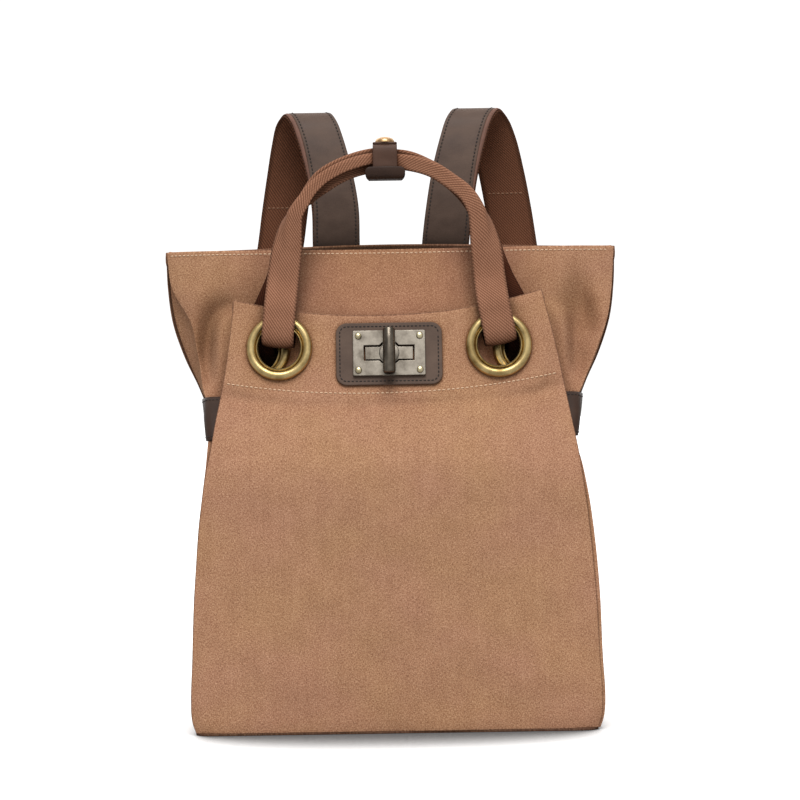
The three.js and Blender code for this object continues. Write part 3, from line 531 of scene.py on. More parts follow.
def shell(name, outer, thickness, uv, keep=None, rim=5):
    """A closed wall behind a grid of points, with round rims. Cells that aren't kept are holes."""
    rows, columns = outer.shape[:2]
    count = rows * columns
    depth = np.broadcast_to(thickness, (rows, columns))[..., None]
    front = outer.reshape(-1, 3)
    back = (outer - grid_normals(outer) * depth).reshape(-1, 3)
    index = np.arange(count).reshape(rows, columns)
    cells = np.stack([index[:-1, :-1], index[:-1, 1:], index[1:, 1:], index[1:, :-1]], axis=2)
    cells = cells.reshape(-1, 4) if keep is None else cells[keep]

    edges = [tuple(edge) for k in range(4) for edge in cells[:, [k, (k + 1) % 4]].tolist()]
    inside = set(edges)
    border = [(a, b) for a, b in edges if (b, a) not in inside]
    corners = sorted({a for a, _ in border})
    outward = np.zeros((count, 3))
    centres = front[cells].mean(axis=1, keepdims=True)
    np.add.at(outward, cells.ravel(), (front[cells] - centres).reshape(-1, 3))
    half = (front[corners] - back[corners]) / 2
    away = outward[corners]
    away = away - half * ((away * half).sum(1) / (half * half).sum(1))[:, None]
    away = unit(away) * np.linalg.norm(half, axis=1, keepdims=True)

    points = [front, back]
    flat = uv.reshape(-1, 2)
    places = [flat, flat]
    chains = {corner: [corner] for corner in corners}
    for k in range(1, rim):
        turn = math.pi * k / rim
        points.append((front[corners] + back[corners]) / 2 + half * math.cos(turn) + away * math.sin(turn))
        places.append(flat[corners])
        for i, corner in enumerate(corners):
            chains[corner].append(2 * count + (k - 1) * len(corners) + i)
    for corner in corners:
        chains[corner].append(corner + count)
    rims = []
    for a, b in border:
        for k in range(rim):
            rims.append((chains[b][k], chains[a][k], chains[a][k + 1], chains[b][k + 1]))
    faces = np.concatenate([cells, cells[:, ::-1] + count, np.array(rims)])
    mesh = make_mesh(name, np.concatenate(points), faces, np.concatenate(places))
    counts = [len(cells), len(cells), len(rims)]
    mesh.polygons.foreach_set("material_index", np.repeat([FACE, INSIDE, RIM], counts))
    return mesh


def ring_faces(rings, sides):
    """Faces between the rings of points of a tube."""
    index = np.arange(rings * sides).reshape(rings, sides)
    turned = np.roll(index, -1, axis=1)
    return np.stack([index[:-1], turned[:-1], turned[1:], index[1:]], axis=2).reshape(-1, 4)


def lathe(name, profile, place, facets, sharp=SHARP["turned"]):
    """A profile of (radius, height) turned about the z axis of a place."""
    profile = np.array(profile, float)
    angles = np.linspace(0, 2 * math.pi, facets, endpoint=False)
    radii = profile[:, :1]
    points = stacked(radii * np.cos(angles), radii * np.sin(angles), profile[:, 1:])
    uv = stacked(angles * radii.mean(), lengths(profile)[:, None])
    faces = ring_faces(len(profile), facets)
    return make_mesh(name, placed(points.reshape(-1, 3), place), faces, uv.reshape(-1, 2), sharp)


def placed(points, place):
    return points @ place[:3, :3].T + place[:3, 3]


def shifted(x, y, z):
    """A place without a turn."""
    made = np.eye(4)
    made[:3, 3] = (x, y, z)
    return made


def rounded_box(size, inset=0, steps=8):
    """Corner points of a rounded rectangle round the origin, drawn in by an inset."""
    corner = size["corner"] - inset
    points = []
    for quarter, (sx, sy) in enumerate([(1, 1), (-1, 1), (-1, -1), (1, -1)]):
        for step in range(steps + 1):
            turn = (quarter + step / steps) * math.pi / 2
            x = sx * (size["wide"] / 2 - size["corner"]) + corner * math.cos(turn)
            y = sy * (size["tall"] / 2 - size["corner"]) + corner * math.sin(turn)
            points.append((x, y))
    return np.array(points)


def slot_outline(margin, steps=10):
    """The keyhole of the lock: a long slot with a round middle, widened by a margin."""
    half = SLOT["half"] + margin
    tall = SLOT["tall"] + margin
    bulge = SLOT["bulge"] + margin
    start = math.asin(tall / bulge)
    turns = np.linspace(start, math.pi - start, steps + 1)
    arc = stacked(bulge * np.cos(turns), bulge * np.sin(turns))
    upper = np.array([(half, tall), *arc, (-half, tall)])
    return np.concatenate([upper, -upper])


def slab(name, outlines, foot, size, place):
    """A flat piece with bevelled edges: the first outline is its edge and the others are holes."""
    curve = bpy.data.curves.new(name, "CURVE")
    curve.dimensions = "2D"
    curve.fill_mode = "BOTH"
    curve.extrude = size["thick"] / 2 - size["bevel"]
    curve.bevel_depth = size["bevel"]
    curve.bevel_resolution = BEVEL_STEPS
    curve.offset = -size["bevel"]
    for outline in outlines:
        spline = curve.splines.new("POLY")
        spline.points.add(len(outline) - 1)
        spline.points.foreach_set("co", [v for x, y in outline for v in (x, y, 0, 1)])
        spline.use_cyclic_u = True
    maker = add_object(name, curve)
    shown = maker.evaluated_get(bpy.context.evaluated_depsgraph_get())
    mesh = bpy.data.meshes.new_from_object(shown)
    bpy.data.objects.remove(maker)
    mesh.name = name
    points = np.empty(len(mesh.vertices) * 3)
    mesh.vertices.foreach_get("co", points)
    points = points.reshape(-1, 3) + (0, 0, foot + size["thick"] / 2)
    set_uv(mesh, points[:, :2])
    mesh.vertices.foreach_set("co", (placed(points, place) * MM).ravel())
    mesh.shade_smooth()
    mesh.set_sharp_from_angle(angle=math.radians(SHARP["slab"]))
    return mesh


def curve_through(points, k):
    """Points at fractional places k on the smooth curve through a list of points."""
    points = np.asarray(points, float)
    padded = np.vstack([2 * points[0] - points[1], points, 2 * points[-1] - points[-2]])
    i = np.clip(np.floor(k).astype(int), 0, len(points) - 2)
    w = (k - i)[:, None]
    p0, p1, p2, p3 = (padded[i + n] for n in range(4))
    d0, d1, d2 = (np.linalg.norm(b - a, axis=1)[:, None] ** 0.5 for a, b in ((p0, p1), (p1, p2), (p2, p3)))
    t1 = ((p1 - p0) / d0 - (p2 - p0) / (d0 + d1) + (p2 - p1) / d1) * d1
    t2 = ((p2 - p1) / d1 - (p3 - p1) / (d1 + d2) + (p3 - p2) / d2) * d1
    rise = p2 - p1
    return p1 + t1 * w + (3 * rise - 2 * t1 - t2) * w**2 + (t1 + t2 - 2 * rise) * w**3


def tangents(points, k, step=1e-3):
    return unit(curve_through(points, k + step) - curve_through(points, k - step))


def lengths(points):
    """Distance along a line of points."""
    return np.linalg.norm(np.diff(points, axis=0, prepend=points[:1]), axis=1).cumsum()


def stitches(name, lines, size):
    """Rows of stitches. Each line is points on the surface, and the normals there or one for all of them."""
    rings = np.linspace(0, math.pi, STITCH["rings"])[:, None]
    sides = np.linspace(0, 2 * math.pi, STITCH["sides"], endpoint=False)
    round_ends = np.sin(rings) ** STITCH["blunt"]
    along = (-np.cos(rings) * np.ones_like(sides))[..., None] * size["length"] / 2
    across = (round_ends * np.cos(sides))[..., None] * size["radius"]
    up = (round_ends * np.sin(sides) * STITCH["flat"] + STITCH["lift"])[..., None] * size["radius"]
    points = []
    for line, normals in lines:
        normals = np.broadcast_to(normals, line.shape)
        run = lengths(line)
        for middle in np.arange(size["pitch"] / 2, run[-1] - size["pitch"] / 2, size["pitch"]):
            at, ahead, normal = (
                np.array([np.interp(place, run, values[:, n]) for n in range(3)])
                for place, values in ((middle, line), (middle + 1, line), (middle, normals))
            )
            heading = unit(ahead - at)
            side = unit(np.cross(heading, normal))
            stitch = at + along * heading + across * side + up * unit(normal)
            points.append(stitch.reshape(-1, 3))
    quads = ring_faces(STITCH["rings"], STITCH["sides"])
    faces = np.concatenate([quads + k * len(points[0]) for k in range(len(points))])
    points = np.concatenate(points)
    return make_mesh(name, points, faces, points[:, :2])


# Painted shade in the hollows of cloth and leather: how far their sides are looked for, and the shade by how
# open a place is. On canvas it starts above the base, and is strongest in the folds of the wings. The feet of
# the rear handle are painted darker, as the shade between the walls. Places are in metres
HOLLOW = {"reach": 0.075, "samples": 8}
HOLLOW_SHADE = [
    (0.45, (0.3, 0.265, 0.235)),
    (0.7, (0.49, 0.45, 0.415)),
    (0.89, (0.86, 0.83, 0.8)),
    (0.98, (1.0, 1.0, 1.0)),
]
WEBBING_SHADE = [
    (0.35, (0.18, 0.13, 0.1)),
    (0.6, (0.43, 0.38, 0.34)),
    (0.85, (0.9, 0.88, 0.86)),
    (1.0, (1.0, 1.0, 1.0)),
]
SHADED_ABOVE = {"from": 0.06, "full": 0.2}
SHADED_ASIDE = {"from": 0.088, "full": 0.114}
SHADED_FEET = {"from": 0.385, "full": 0.425}
FOOT_SHADE = (0.26, 0.17, 0.125)

# Painted shade: the wall between the handles is darker than the wings beside them
MIDDLE_SHADE = (0.83, 0.77, 0.765)

# Painted shade across the panel's belly, by height in metres
BELLY_SHADE = [(0.06, 1.0), (0.13, 0.95), (0.19, 0.88), (0.238, 1.0)]


# Spots of noise: how many to a metre, across and along, their detail and its roughness
SPOTS = {
    "warp": (1500, 500, 1, 0.5),
    "weft": (540, 1500, 1, 0.5),
    "speck": (1700, 1700, 0, 0.5),
    "mottle": (80, 70, 3, 0.6),
    "streak": (260, 14, 2, 0.5),
    "fading": (11, 14, 2, 0.5),
    "fluff": (700, 700, 2, 0.5),
    "wear": (60, 25, 3, 0.5),
    "pores": (900, 900, 3, 0.5),
    "cloud": (38, 60, 3, 0.5),
}


# Finishes
class Finish:
    """A Principled material, and short ways to add nodes to it."""

    def __init__(self, name, **constants):
        self.material = bpy.data.materials.new(name)
        self.material.use_nodes = True
        self.tree = self.material.node_tree
        self.shader = self.tree.nodes["Principled BSDF"]
        for socket, value in constants.items():
            self.shader.inputs[socket.replace("_", " ")].default_value = value

    def node(self, kind, inputs=None, **settings):
        made = self.tree.nodes.new("ShaderNode" + kind)
        for setting, value in settings.items():
            setattr(made, setting, value)
        for socket, value in (inputs or {}).items():
            if isinstance(value, bpy.types.NodeSocket):
                self.tree.links.new(value, made.inputs[socket])
            else:
                made.inputs[socket].default_value = value
        return made

    def uv(self, across=1, along=1, turn=0):
        """Cloth coordinates in metres, turned, then scaled."""
        place = self.node("TexCoord").outputs["UV"]
        values = {"Vector": place, "Angle": turn}
        turned = self.node("VectorRotate", values, rotation_type="Z_AXIS").outputs[0]
        return self.scaled(turned, (across, along, 1))

    def scaled(self, vector, factors):
        return self.node("VectorMath", {0: vector, 1: factors}, operation="MULTIPLY").outputs[0]

    def axis(self, vector, n):
        return self.node("SeparateXYZ", {0: vector}).outputs[n]

    def object_place(self):
        return self.node("TexCoord").outputs["Object"]

    def noise(self, vector, scale=1, detail=2, roughness=0.5):
        values = {"Vector": vector, "Scale": scale, "Detail": detail, "Roughness": roughness}
        return self.node("TexNoise", values).outputs[0]

    def spots(self, kind):
        across, along, detail, roughness = SPOTS[kind]
        return self.noise(self.uv(across, along), detail=detail, roughness=roughness)

    def bands(self, vector, period):
        """A sine across x with the given period."""
        return self.node("TexWave", {"Vector": vector, "Scale": math.pi / 10 / period}).outputs["Fac"]

    def math(self, operation, *values):
        return self.node("Math", dict(enumerate(values)), operation=operation).outputs[0]

    def plus(self, value, factor, start):
        """A value times a factor, added to a start."""
        return self.math("MULTIPLY_ADD", value, factor, start)

    def ramp(self, value, *stops):
        """Colours or greys at places along a value."""
        made = self.node("ValToRGB", {0: value})
        elements = made.color_ramp.elements
        while len(elements) < len(stops):
            elements.new(0.5)
        for element, (place, colour) in zip(elements, stops):
            element.position = place
            element.color = (*colour, 1) if isinstance(colour, tuple) else (colour, colour, colour, 1)
        return made.outputs[0]

    def shaded(self, colour, shade, share=1):
        """A colour multiplied by a shade, in part where the share is below one."""
        values = {0: share, 6: colour, 7: shade}
        return self.node("Mix", values, data_type="RGBA", blend_type="MULTIPLY").outputs[2]

    def hollow_shaded(self, colour, shades, share=1):
        """A colour darkened in hollows with painted shade, by how open each place is."""
        open_share = self.node("AmbientOcclusion", {"Distance": HOLLOW["reach"]}, samples=HOLLOW["samples"])
        return self.shaded(colour, self.ramp(open_share.outputs["AO"], *shades), share)

    def between(self, value, limits):
        """A share that rises from zero to one between two limits of a value."""
        return self.node("MapRange", {0: value, 1: limits["from"], 2: limits["full"]}).outputs[0]

    def link(self, socket, value):
        self.tree.links.new(value, self.shader.inputs[socket])

    def bump(self, height, strength, distance):
        values = {"Height": height, "Strength": strength, "Distance": distance}
        self.link("Normal", self.node("Bump", values).outputs[0])


def srgb(*screen):
    """A linear colour from the 0 to 255 values of a screen."""
    shares = [value / 255 for value in screen]
    return tuple(v / 12.92 if v <= 0.04045 else ((v + 0.055) / 1.055) ** 2.4 for v in shares)


# Canvas: strengths of its threads, of its faded patches and of the streaks in them, the tone in their middle
# and its spread, and the tints it fades between, one golden and one pinkish
CANVAS_GRAIN = 0.74
CANVAS_MOTTLE = 0.22
CANVAS_STREAK = 0.5
CANVAS_TONE = 0.64
CANVAS_SPREAD = 0.3
NOISE_MEAN = 0.5
FADED = [(0.38, (1.0, 1.0, 0.93)), (0.62, (1.0, 0.965, 0.985))]


def canvas_finish(name, colours, hollow_shaded_middle, belly=None, middle_shade=None):
    """Canvas in a dark, a middle and a light colour, with painted shade in its hollows, near the bag's middle
    only in part, and, where given, painted shade by height and in the bag's middle.
    """
    finish = Finish(name, Roughness=0.95, Specular_IOR_Level=0.12)
    weave = finish.math("ADD", finish.spots("warp"), finish.spots("weft"))
    threads = finish.math("ADD", weave, finish.spots("speck"))
    patches = finish.plus(finish.spots("streak"), CANVAS_STREAK, finish.spots("mottle"))
    level = CANVAS_TONE - NOISE_MEAN * (3 * CANVAS_GRAIN + (1 + CANVAS_STREAK) * CANVAS_MOTTLE)
    tone = finish.plus(patches, CANVAS_MOTTLE, finish.plus(threads, CANVAS_GRAIN, level))
    stops = (CANVAS_TONE - CANVAS_SPREAD, CANVAS_TONE, CANVAS_TONE + CANVAS_SPREAD)
    plain = finish.ramp(tone, *zip(stops, colours))
    cloth = finish.shaded(plain, finish.ramp(finish.spots("fading"), *FADED))
    height = finish.axis(finish.object_place(), 2)
    aside = finish.math("ABSOLUTE", finish.axis(finish.object_place(), 0))
    on_wings = finish.between(aside, SHADED_ASIDE)
    shade_share = finish.plus(on_wings, 1 - hollow_shaded_middle, hollow_shaded_middle)
    # Painted shade across the panel's belly, by height
    if belly:
        cloth = finish.shaded(cloth, finish.ramp(height, *belly))
    # Painted shade between the handles
    if middle_shade:
        cloth = finish.shaded(cloth, finish.ramp(on_wings, (0.0, middle_shade), (1.0, 1.0)))
    share = finish.math("MULTIPLY", finish.between(height, SHADED_ABOVE), shade_share)
    # Painted shade in the hollows, above the base, fully on the wings and in part in the middle
    finish.link("Base Color", finish.hollow_shaded(cloth, HOLLOW_SHADE, share))
    finish.bump(threads, strength=0.3, distance=0.0005)
    return finish.material


# Webbing: turn and spacing in metres of its ribs and of the picks across them, and what each part of it adds
# to its tone, with the tones of its two colours. Its woven edges are darker, which also paints the shade
# between its plies, at shares of its half-width
RIBS = {"turn": math.radians(39), "period": 0.00193}
PICKS = {"turn": math.radians(-16), "period": 0.0018, "share": 0.4}
WEBBING_TONE = {"woven": 0.6, "wear": 0.25, "fluff": 0.3, "dark": 0.15, "light": 0.85}
SELVEDGE = {"start": 0.86, "full": 0.97, "shade": 0.6, "ragged": 0.06}


def webbing_finish(name, dark, light, width, hollow_shaded=True, foot_shade=None):
    finish = Finish(name, Roughness=0.9, Specular_IOR_Level=0.1)
    ribs, picks = (finish.bands(finish.uv(turn=row["turn"]), row["period"]) for row in (RIBS, PICKS))
    woven = finish.math("MULTIPLY", ribs, finish.plus(picks, PICKS["share"], 1 - PICKS["share"]))
    fluff = finish.spots("fluff")
    fluffy = finish.math("MULTIPLY", fluff, WEBBING_TONE["fluff"])
    worn = finish.plus(finish.spots("wear"), WEBBING_TONE["wear"], fluffy)
    tone = finish.plus(woven, WEBBING_TONE["woven"], worn)
    cloth = finish.ramp(tone, (WEBBING_TONE["dark"], dark), (WEBBING_TONE["light"], light))
    half_width = width * MM / 2
    # Darker edges: woven edges, and painted shade between the plies
    across = finish.math("ABSOLUTE", finish.axis(finish.uv(1 / half_width), 0))
    from_middle = finish.plus(fluff, SELVEDGE["ragged"], across)
    edge = finish.ramp(from_middle, (SELVEDGE["start"], 1.0), (SELVEDGE["full"], SELVEDGE["shade"]))
    cloth = finish.shaded(cloth, edge)
    # Painted shade on the rear handle's feet, between the walls
    if foot_shade:
        above_foot = finish.between(finish.axis(finish.object_place(), 2), SHADED_FEET)
        cloth = finish.shaded(cloth, finish.ramp(above_foot, (0.0, foot_shade), (1.0, 1.0)))
    # Painted shade in the webbing's hollows, where asked for
    finish.link("Base Color", finish.hollow_shaded(cloth, WEBBING_SHADE) if hollow_shaded else cloth)
    finish.bump(woven, strength=0.35, distance=0.0006)
    return finish.material


# Leather: pebbles to a metre, what its pores add to its clouds, the tones of its two colours, and its
# roughness by tone
PEBBLES = 1100.0
LEATHER_TONE = {"pores": 0.2, "dark": 0.3, "light": 0.9}
LEATHER_ROUGH = [(0.3, 0.5), (0.75, 0.62)]


def leather_finish(name, dark, light, hollow_shaded=False):
    finish = Finish(name, Specular_IOR_Level=0.2)
    pebble = finish.node("TexVoronoi", {"Vector": finish.uv(), "Scale": PEBBLES}).outputs["Distance"]
    pores = finish.spots("pores")
    cloud = finish.spots("cloud")
    tone = finish.plus(pores, LEATHER_TONE["pores"], cloud)
    hide = finish.ramp(tone, (LEATHER_TONE["dark"], dark), (LEATHER_TONE["light"], light))
    # Painted shade in the leather's hollows, where asked for
    finish.link("Base Color", finish.hollow_shaded(hide, HOLLOW_SHADE) if hollow_shaded else hide)
    finish.link("Roughness", finish.ramp(cloud, *LEATHER_ROUGH))
    finish.bump(finish.math("ADD", pebble, pores), strength=0.1, distance=0.0003)
    return finish.material


# Metal: clouds and grains to a metre, what the grain adds to the clouds, and the tones where its colours and
# its two kinds of gloss are reached
METAL = {"clouds": 90, "grains": 1700, "grain": 0.12}
METAL_TONE = {"dark": 0.36, "light": 0.76, "rough": 0.4, "smooth": 0.75}


def metal_finish(name, dark, light, smooth, rough, brushed=1):
    finish = Finish(name, Metallic=1.0)
    place = finish.object_place()
    cloud = finish.noise(place, scale=METAL["clouds"], detail=4, roughness=0.6)
    grain = finish.noise(finish.scaled(place, (1, 1, brushed)), scale=METAL["grains"])
    tone = finish.plus(grain, METAL["grain"], cloud)
    finish.link("Base Color", finish.ramp(tone, (METAL_TONE["dark"], dark), (METAL_TONE["light"], light)))
    finish.link("Roughness", finish.ramp(tone, (METAL_TONE["rough"], rough), (METAL_TONE["smooth"], smooth)))
    finish.bump(grain, strength=0.05, distance=0.0001)
    return finish.material


# Thread: twists to a metre, and the tones of its two colours
THREAD = {"twists": 1500, "dark": 0.35, "light": 0.65}


def thread_finish(name, dark, light):
    finish = Finish(name, Roughness=0.8)
    twist = finish.noise(finish.object_place(), scale=THREAD["twists"])
    finish.link("Base Color", finish.ramp(twist, (THREAD["dark"], dark), (THREAD["light"], light)))
    return finish.material


CANVAS_COLOURS = [srgb(141, 100, 76), srgb(177, 132, 102), srgb(209, 166, 134)]
# Rims are darker, and insides and the base are painted in shade
DARK_RIM_COLOURS = [srgb(106, 75, 58), srgb(136, 99, 77), srgb(160, 122, 97)]
PAINTED_SHADE_COLOURS = [srgb(68, 47, 36), srgb(92, 66, 51), srgb(114, 86, 68)]
HANDLE_COLOURS = [srgb(101, 65, 46), srgb(174, 125, 99)]
# The straps' webbing is darker than the handles', partly painting the shade in the straps' arches
STRAP_COLOURS = [srgb(66, 40, 27), srgb(126, 83, 61)]
canvas = canvas_finish("canvas", CANVAS_COLOURS, 0.2, middle_shade=MIDDLE_SHADE)
panel_canvas = canvas_finish("panel_canvas", CANVAS_COLOURS, 0.8, BELLY_SHADE)
back_canvas = canvas_finish("back_canvas", CANVAS_COLOURS, 1)
dark_rim_canvas = canvas_finish("dark_rim_canvas", DARK_RIM_COLOURS, 0.3)
painted_shade_canvas = canvas_finish("painted_shade_canvas", PAINTED_SHADE_COLOURS, 0.3)
webbing = webbing_finish("webbing", *HANDLE_COLOURS, HANDLE_WIDTH)
rear_webbing = webbing_finish("rear_webbing", *HANDLE_COLOURS, HANDLE_WIDTH, foot_shade=FOOT_SHADE)
strap_webbing = webbing_finish("strap_webbing", *STRAP_COLOURS, STRAP_WIDTH, hollow_shaded=False)
leather = leather_finish("leather", srgb(76, 59, 49), srgb(104, 85, 73))
strap_leather = leather_finish("strap_leather", srgb(74, 57, 48), srgb(102, 83, 72), hollow_shaded=True)
keeper_leather = leather_finish("keeper_leather", srgb(68, 46, 36), srgb(94, 69, 57))
dark_leather = leather_finish("dark_leather", srgb(44, 29, 22), srgb(64, 45, 35))
edge_leather = leather_finish("edge_leather", srgb(98, 68, 56), srgb(128, 92, 78))
snap_brass = metal_finish("snap_brass", srgb(140, 104, 70), srgb(232, 192, 142), 0.3, 0.42)
brass = metal_finish("brass", srgb(132, 109, 66), srgb(212, 187, 132), 0.3, 0.44)
rivet_brass = metal_finish("rivet_brass", srgb(142, 130, 98), srgb(216, 204, 168), 0.26, 0.4)
nickel = metal_finish("nickel", srgb(92, 85, 76), srgb(150, 142, 130), 0.32, 0.46, brushed=0.15)
# A darker copy of the nickel for the bar and flange, which paints the bar's dark reflections
bar_nickel = metal_finish("bar_nickel", srgb(64, 58, 51), srgb(122, 113, 101), 0.24, 0.36, brushed=0.15)
tan_thread = thread_finish("tan_thread", srgb(214, 174, 140), srgb(240, 207, 174))
brown_thread = thread_finish("brown_thread", srgb(128, 92, 70), srgb(160, 120, 94))
dark_thread = thread_finish("dark_thread", srgb(30, 23, 19), srgb(48, 38, 32))

# Rims of walls are darker than their faces, painting the shade along the cloth's edges, and their insides are
# painted in shade
WALLS = ["canvas", "panel_canvas", "back_canvas"]
RIMS = dict.fromkeys(WALLS, dark_rim_canvas)
INSIDES = dict.fromkeys(WALLS, painted_shade_canvas)

# Rows of stitches in each thread
canvas_lines = []
seam_lines = []
leather_lines = []


# Walls of the sack
def hem_thickness(below):
    """Thickness of cloth turned over at its edge, by the distance below that edge."""
    t = np.clip((HEM_REACH - below) / HEM_FADE, 0, 1)
    return CANVAS + (HEM_THICKNESS - CANVAS) * t


def hole_mask(x, z, spots, radius):
    """Cells of a grid that stay when round holes are left out of it."""
    middle_x = (x[:-1, :-1] + x[1:, 1:]) / 2
    middle_z = (z[:-1, :-1] + z[1:, 1:]) / 2
    keep = np.ones(middle_x.shape, bool)
    for spot in spots:
        keep &= np.hypot(middle_x - spot["x"], middle_z - spot["z"]) > radius
    return keep


def wall_points(wall, x, z):
    return stacked(x, wall(x, z), z)


def hem_top(u):
    return HEM_HEIGHT - HEM_SAG * np.cos(u * math.pi / 2) ** 2


def wall_grid(name, left, right):
    """Shares across a wall and up it, at the points of its grid."""
    columns, rows = GRID[name]
    return np.meshgrid(np.linspace(left, right, columns), np.linspace(0, 1, rows))


def sew_wall(wall, x, z):
    canvas_lines.append((wall_points(wall, x, z), wall_normal(wall, x, z)))


def make_sack_front():
    u, v = wall_grid("front", -1, 1)
    z = WALL_FOOT + (hem_top(u) - WALL_FOOT) * v
    x = u * sack_half(u, z)
    keep = hole_mask(x, z, sack_spots, EYELET_HOLE)
    thickness = hem_thickness(hem_top(u) - z)
    mesh = shell("sack_front_cloth", wall_points(sack_wall, x, z), thickness, stacked(x, z), keep)
    add_piece(mesh, canvas, "canvas", ["sack_front"])
    row_u = np.linspace(-1, 1, ROW_POINTS["hem"])
    row_z = hem_top(row_u) - HEM_STITCH
    sew_wall(sack_wall, row_u * (sack_half(row_u, row_z) - HEM_ROW["inset"]), row_z)


def back_top(u):
    return HEM_HEIGHT + GAP + BACK_RISE * np.cos(u * math.pi / 2) ** 2


def back_points(u, z, y):
    return stacked(u * SACK.at("back", np.minimum(z, HEM_HEIGHT)), y, z)


def make_sack_back():
    u, v = wall_grid("back", 1, -1)
    z = WALL_FOOT + (back_top(u) - WALL_FOOT) * v
    bow = slack(u * BACK_SLACK["half_width"], z) * np.cos(u * math.pi / 2) * np.sin(v * math.pi)
    points = back_points(u, z, BACK_Y + BACK_SLACK["share"] * bow)
    mesh = shell("sack_back_cloth", points, hem_thickness(back_top(u) - z), points[..., [0, 2]])
    add_piece(mesh, back_canvas, "canvas", ["sack_back"])
    row_u = np.linspace(-1, 1, ROW_POINTS["hem"]) * HEM_ROW["back_share"]
    row = back_points(row_u, back_top(row_u) - HEM_STITCH, BACK_Y)
    canvas_lines.append((row, (0.0, 1, 0)))


def gusset_points(sign, t, z):
    front_x = sack_half(np.full_like(z, sign), z)
    front_y = sack_wall(sign * front_x, z)
    swell = SACK.at("swell", z) * np.sin(math.pi * t)
    x = front_x + (SACK.at("back", z) - front_x) * t + swell
    return stacked(sign * x, front_y + (BACK_Y - front_y) * t, z)


def gusset_rows(sign, heights, columns, seam):
    """A grid of places on a gusset, running so that its cells face outwards."""
    share, z = np.meshgrid(np.linspace(0, 1, columns)[::sign], heights)
    depth = BACK_Y - gusset_points(sign, 0, z)[..., 1]
    return seam / depth + (1 - 2 * seam / depth) * share, z


def make_gusset(side, sign):
    columns, rows = GRID["gusset"]
    t, z = gusset_rows(sign, np.linspace(WALL_FOOT, HEM_HEIGHT, rows), columns, GUSSET["seam"])
    points = gusset_points(sign, t, z)
    points[..., 0] += sign * GUSSET["slack"] * slack(points[..., 1], z) * np.sin(math.pi * t)
    mesh = shell(f"gusset_{side}_cloth", points, hem_thickness(HEM_HEIGHT - z), points[..., 1:])
    add_piece(mesh, canvas, "canvas", [f"gusset_{side}"])
    heights = np.array([HEM_HEIGHT - HEM_STITCH])
    row = gusset_points(sign, *gusset_rows(sign, heights, ROW_POINTS["gusset"], GUSSET["row_seam"]))[0]
    canvas_lines.append((row, (float(sign), 0, 0)))


def make_base():
    mesh = slab("sack_base_cloth", [rounded_box(BASE)], 0, BASE, shifted(0, BASE["middle_y"], 0))
    # The base is painted in the shade under the bag
    add_piece(mesh, painted_shade_canvas, "canvas", ["sack_base"])


# Front panel
def make_panel():
    u, v = wall_grid("panel", -1, 1)
    x, z = panel_place(u, v)
    keep = hole_mask(x, z, panel_spots[1:], EYELET_HOLE) & hole_mask(x, z, [lock_spot], LOCK_HOLE)
    thickness = hem_thickness((1 - v) * (PANEL_TOP - WALL_FOOT))
    mesh = shell("front_panel_cloth", wall_points(panel_wall, x, z), thickness, stacked(x, z), keep)
    add_piece(mesh, panel_canvas, "canvas", ["front_panel"])
    sew_wall(panel_wall, *facing_row(np.linspace(-1, 1, ROW_POINTS["facing"]) * FACING["row_share"]))


# Side tabs run from the front wall round the corner and along the gusset
def make_tab(side, sign):
    z = np.linspace(TAB["bottom"], TAB["top"], TAB_GRID["up"])[:, None]
    inward = np.linspace(TAB["on_front"], TAB["corner"], TAB_GRID["front"])
    along = np.linspace(TAB["start"], TAB["end"], TAB_GRID["side"])
    front_x = sign * (sack_half(np.full_like(z, sign), z) - inward)
    front = wall_points(sack_wall, front_x, z)
    rear = gusset_points(sign, along, z)
    grid = np.concatenate([front, rear], axis=1)
    share = (z - TAB["bottom"]) / (TAB["top"] - TAB["bottom"])
    straight = np.abs(grid[0, :, 0] + (grid[-1, :, 0] - grid[0, :, 0]) * share)
    straight = straight + TAB["bow"] * np.sin(math.pi * share)
    grid[..., 0] = sign * np.maximum(np.abs(grid[..., 0]), straight)
    for _ in range(TAB_GRID["smoothings"]):
        grid[:, 1:-1] = (grid[:, :-2] + 2 * grid[:, 1:-1] + grid[:, 2:]) / 4
    grid = grid[:, ::sign]
    grid = grid + grid_normals(grid) * TAB_STAND
    run = lengths(grid[len(grid) // 2])
    mesh = shell(f"side_tab_{side}_leather", grid, LEATHER, stacked(run, grid[..., 2]))
    add_piece(mesh, dark_leather, "dark_leather", [f"side_tab_{side}"])
    normals = grid_normals(grid)
    inset = TAB_STITCH / (TAB["top"] - TAB["bottom"])
    for share in (inset, 1 - inset):
        row = round(share * (len(grid) - 1))
        leather_lines.append((grid[row], normals[row]))


# Eyelets and turn lock
def make_eyelets():
    for name, wall, eyelet in (("front", panel_seat, FRONT_EYELET), ("rear", sack_seat, REAR_EYELET)):
        for side, sign in SIDES.items():
            place = wall_frame(wall, eyelet_x(eyelet, sign), eyelet["z"])
            node = f"eyelet_{name}_{side}"
            mesh = lathe(f"{node}_ring", EYELET_PROFILE, place, FACETS["eyelet"])
            add_piece(mesh, brass, "brass", [node])


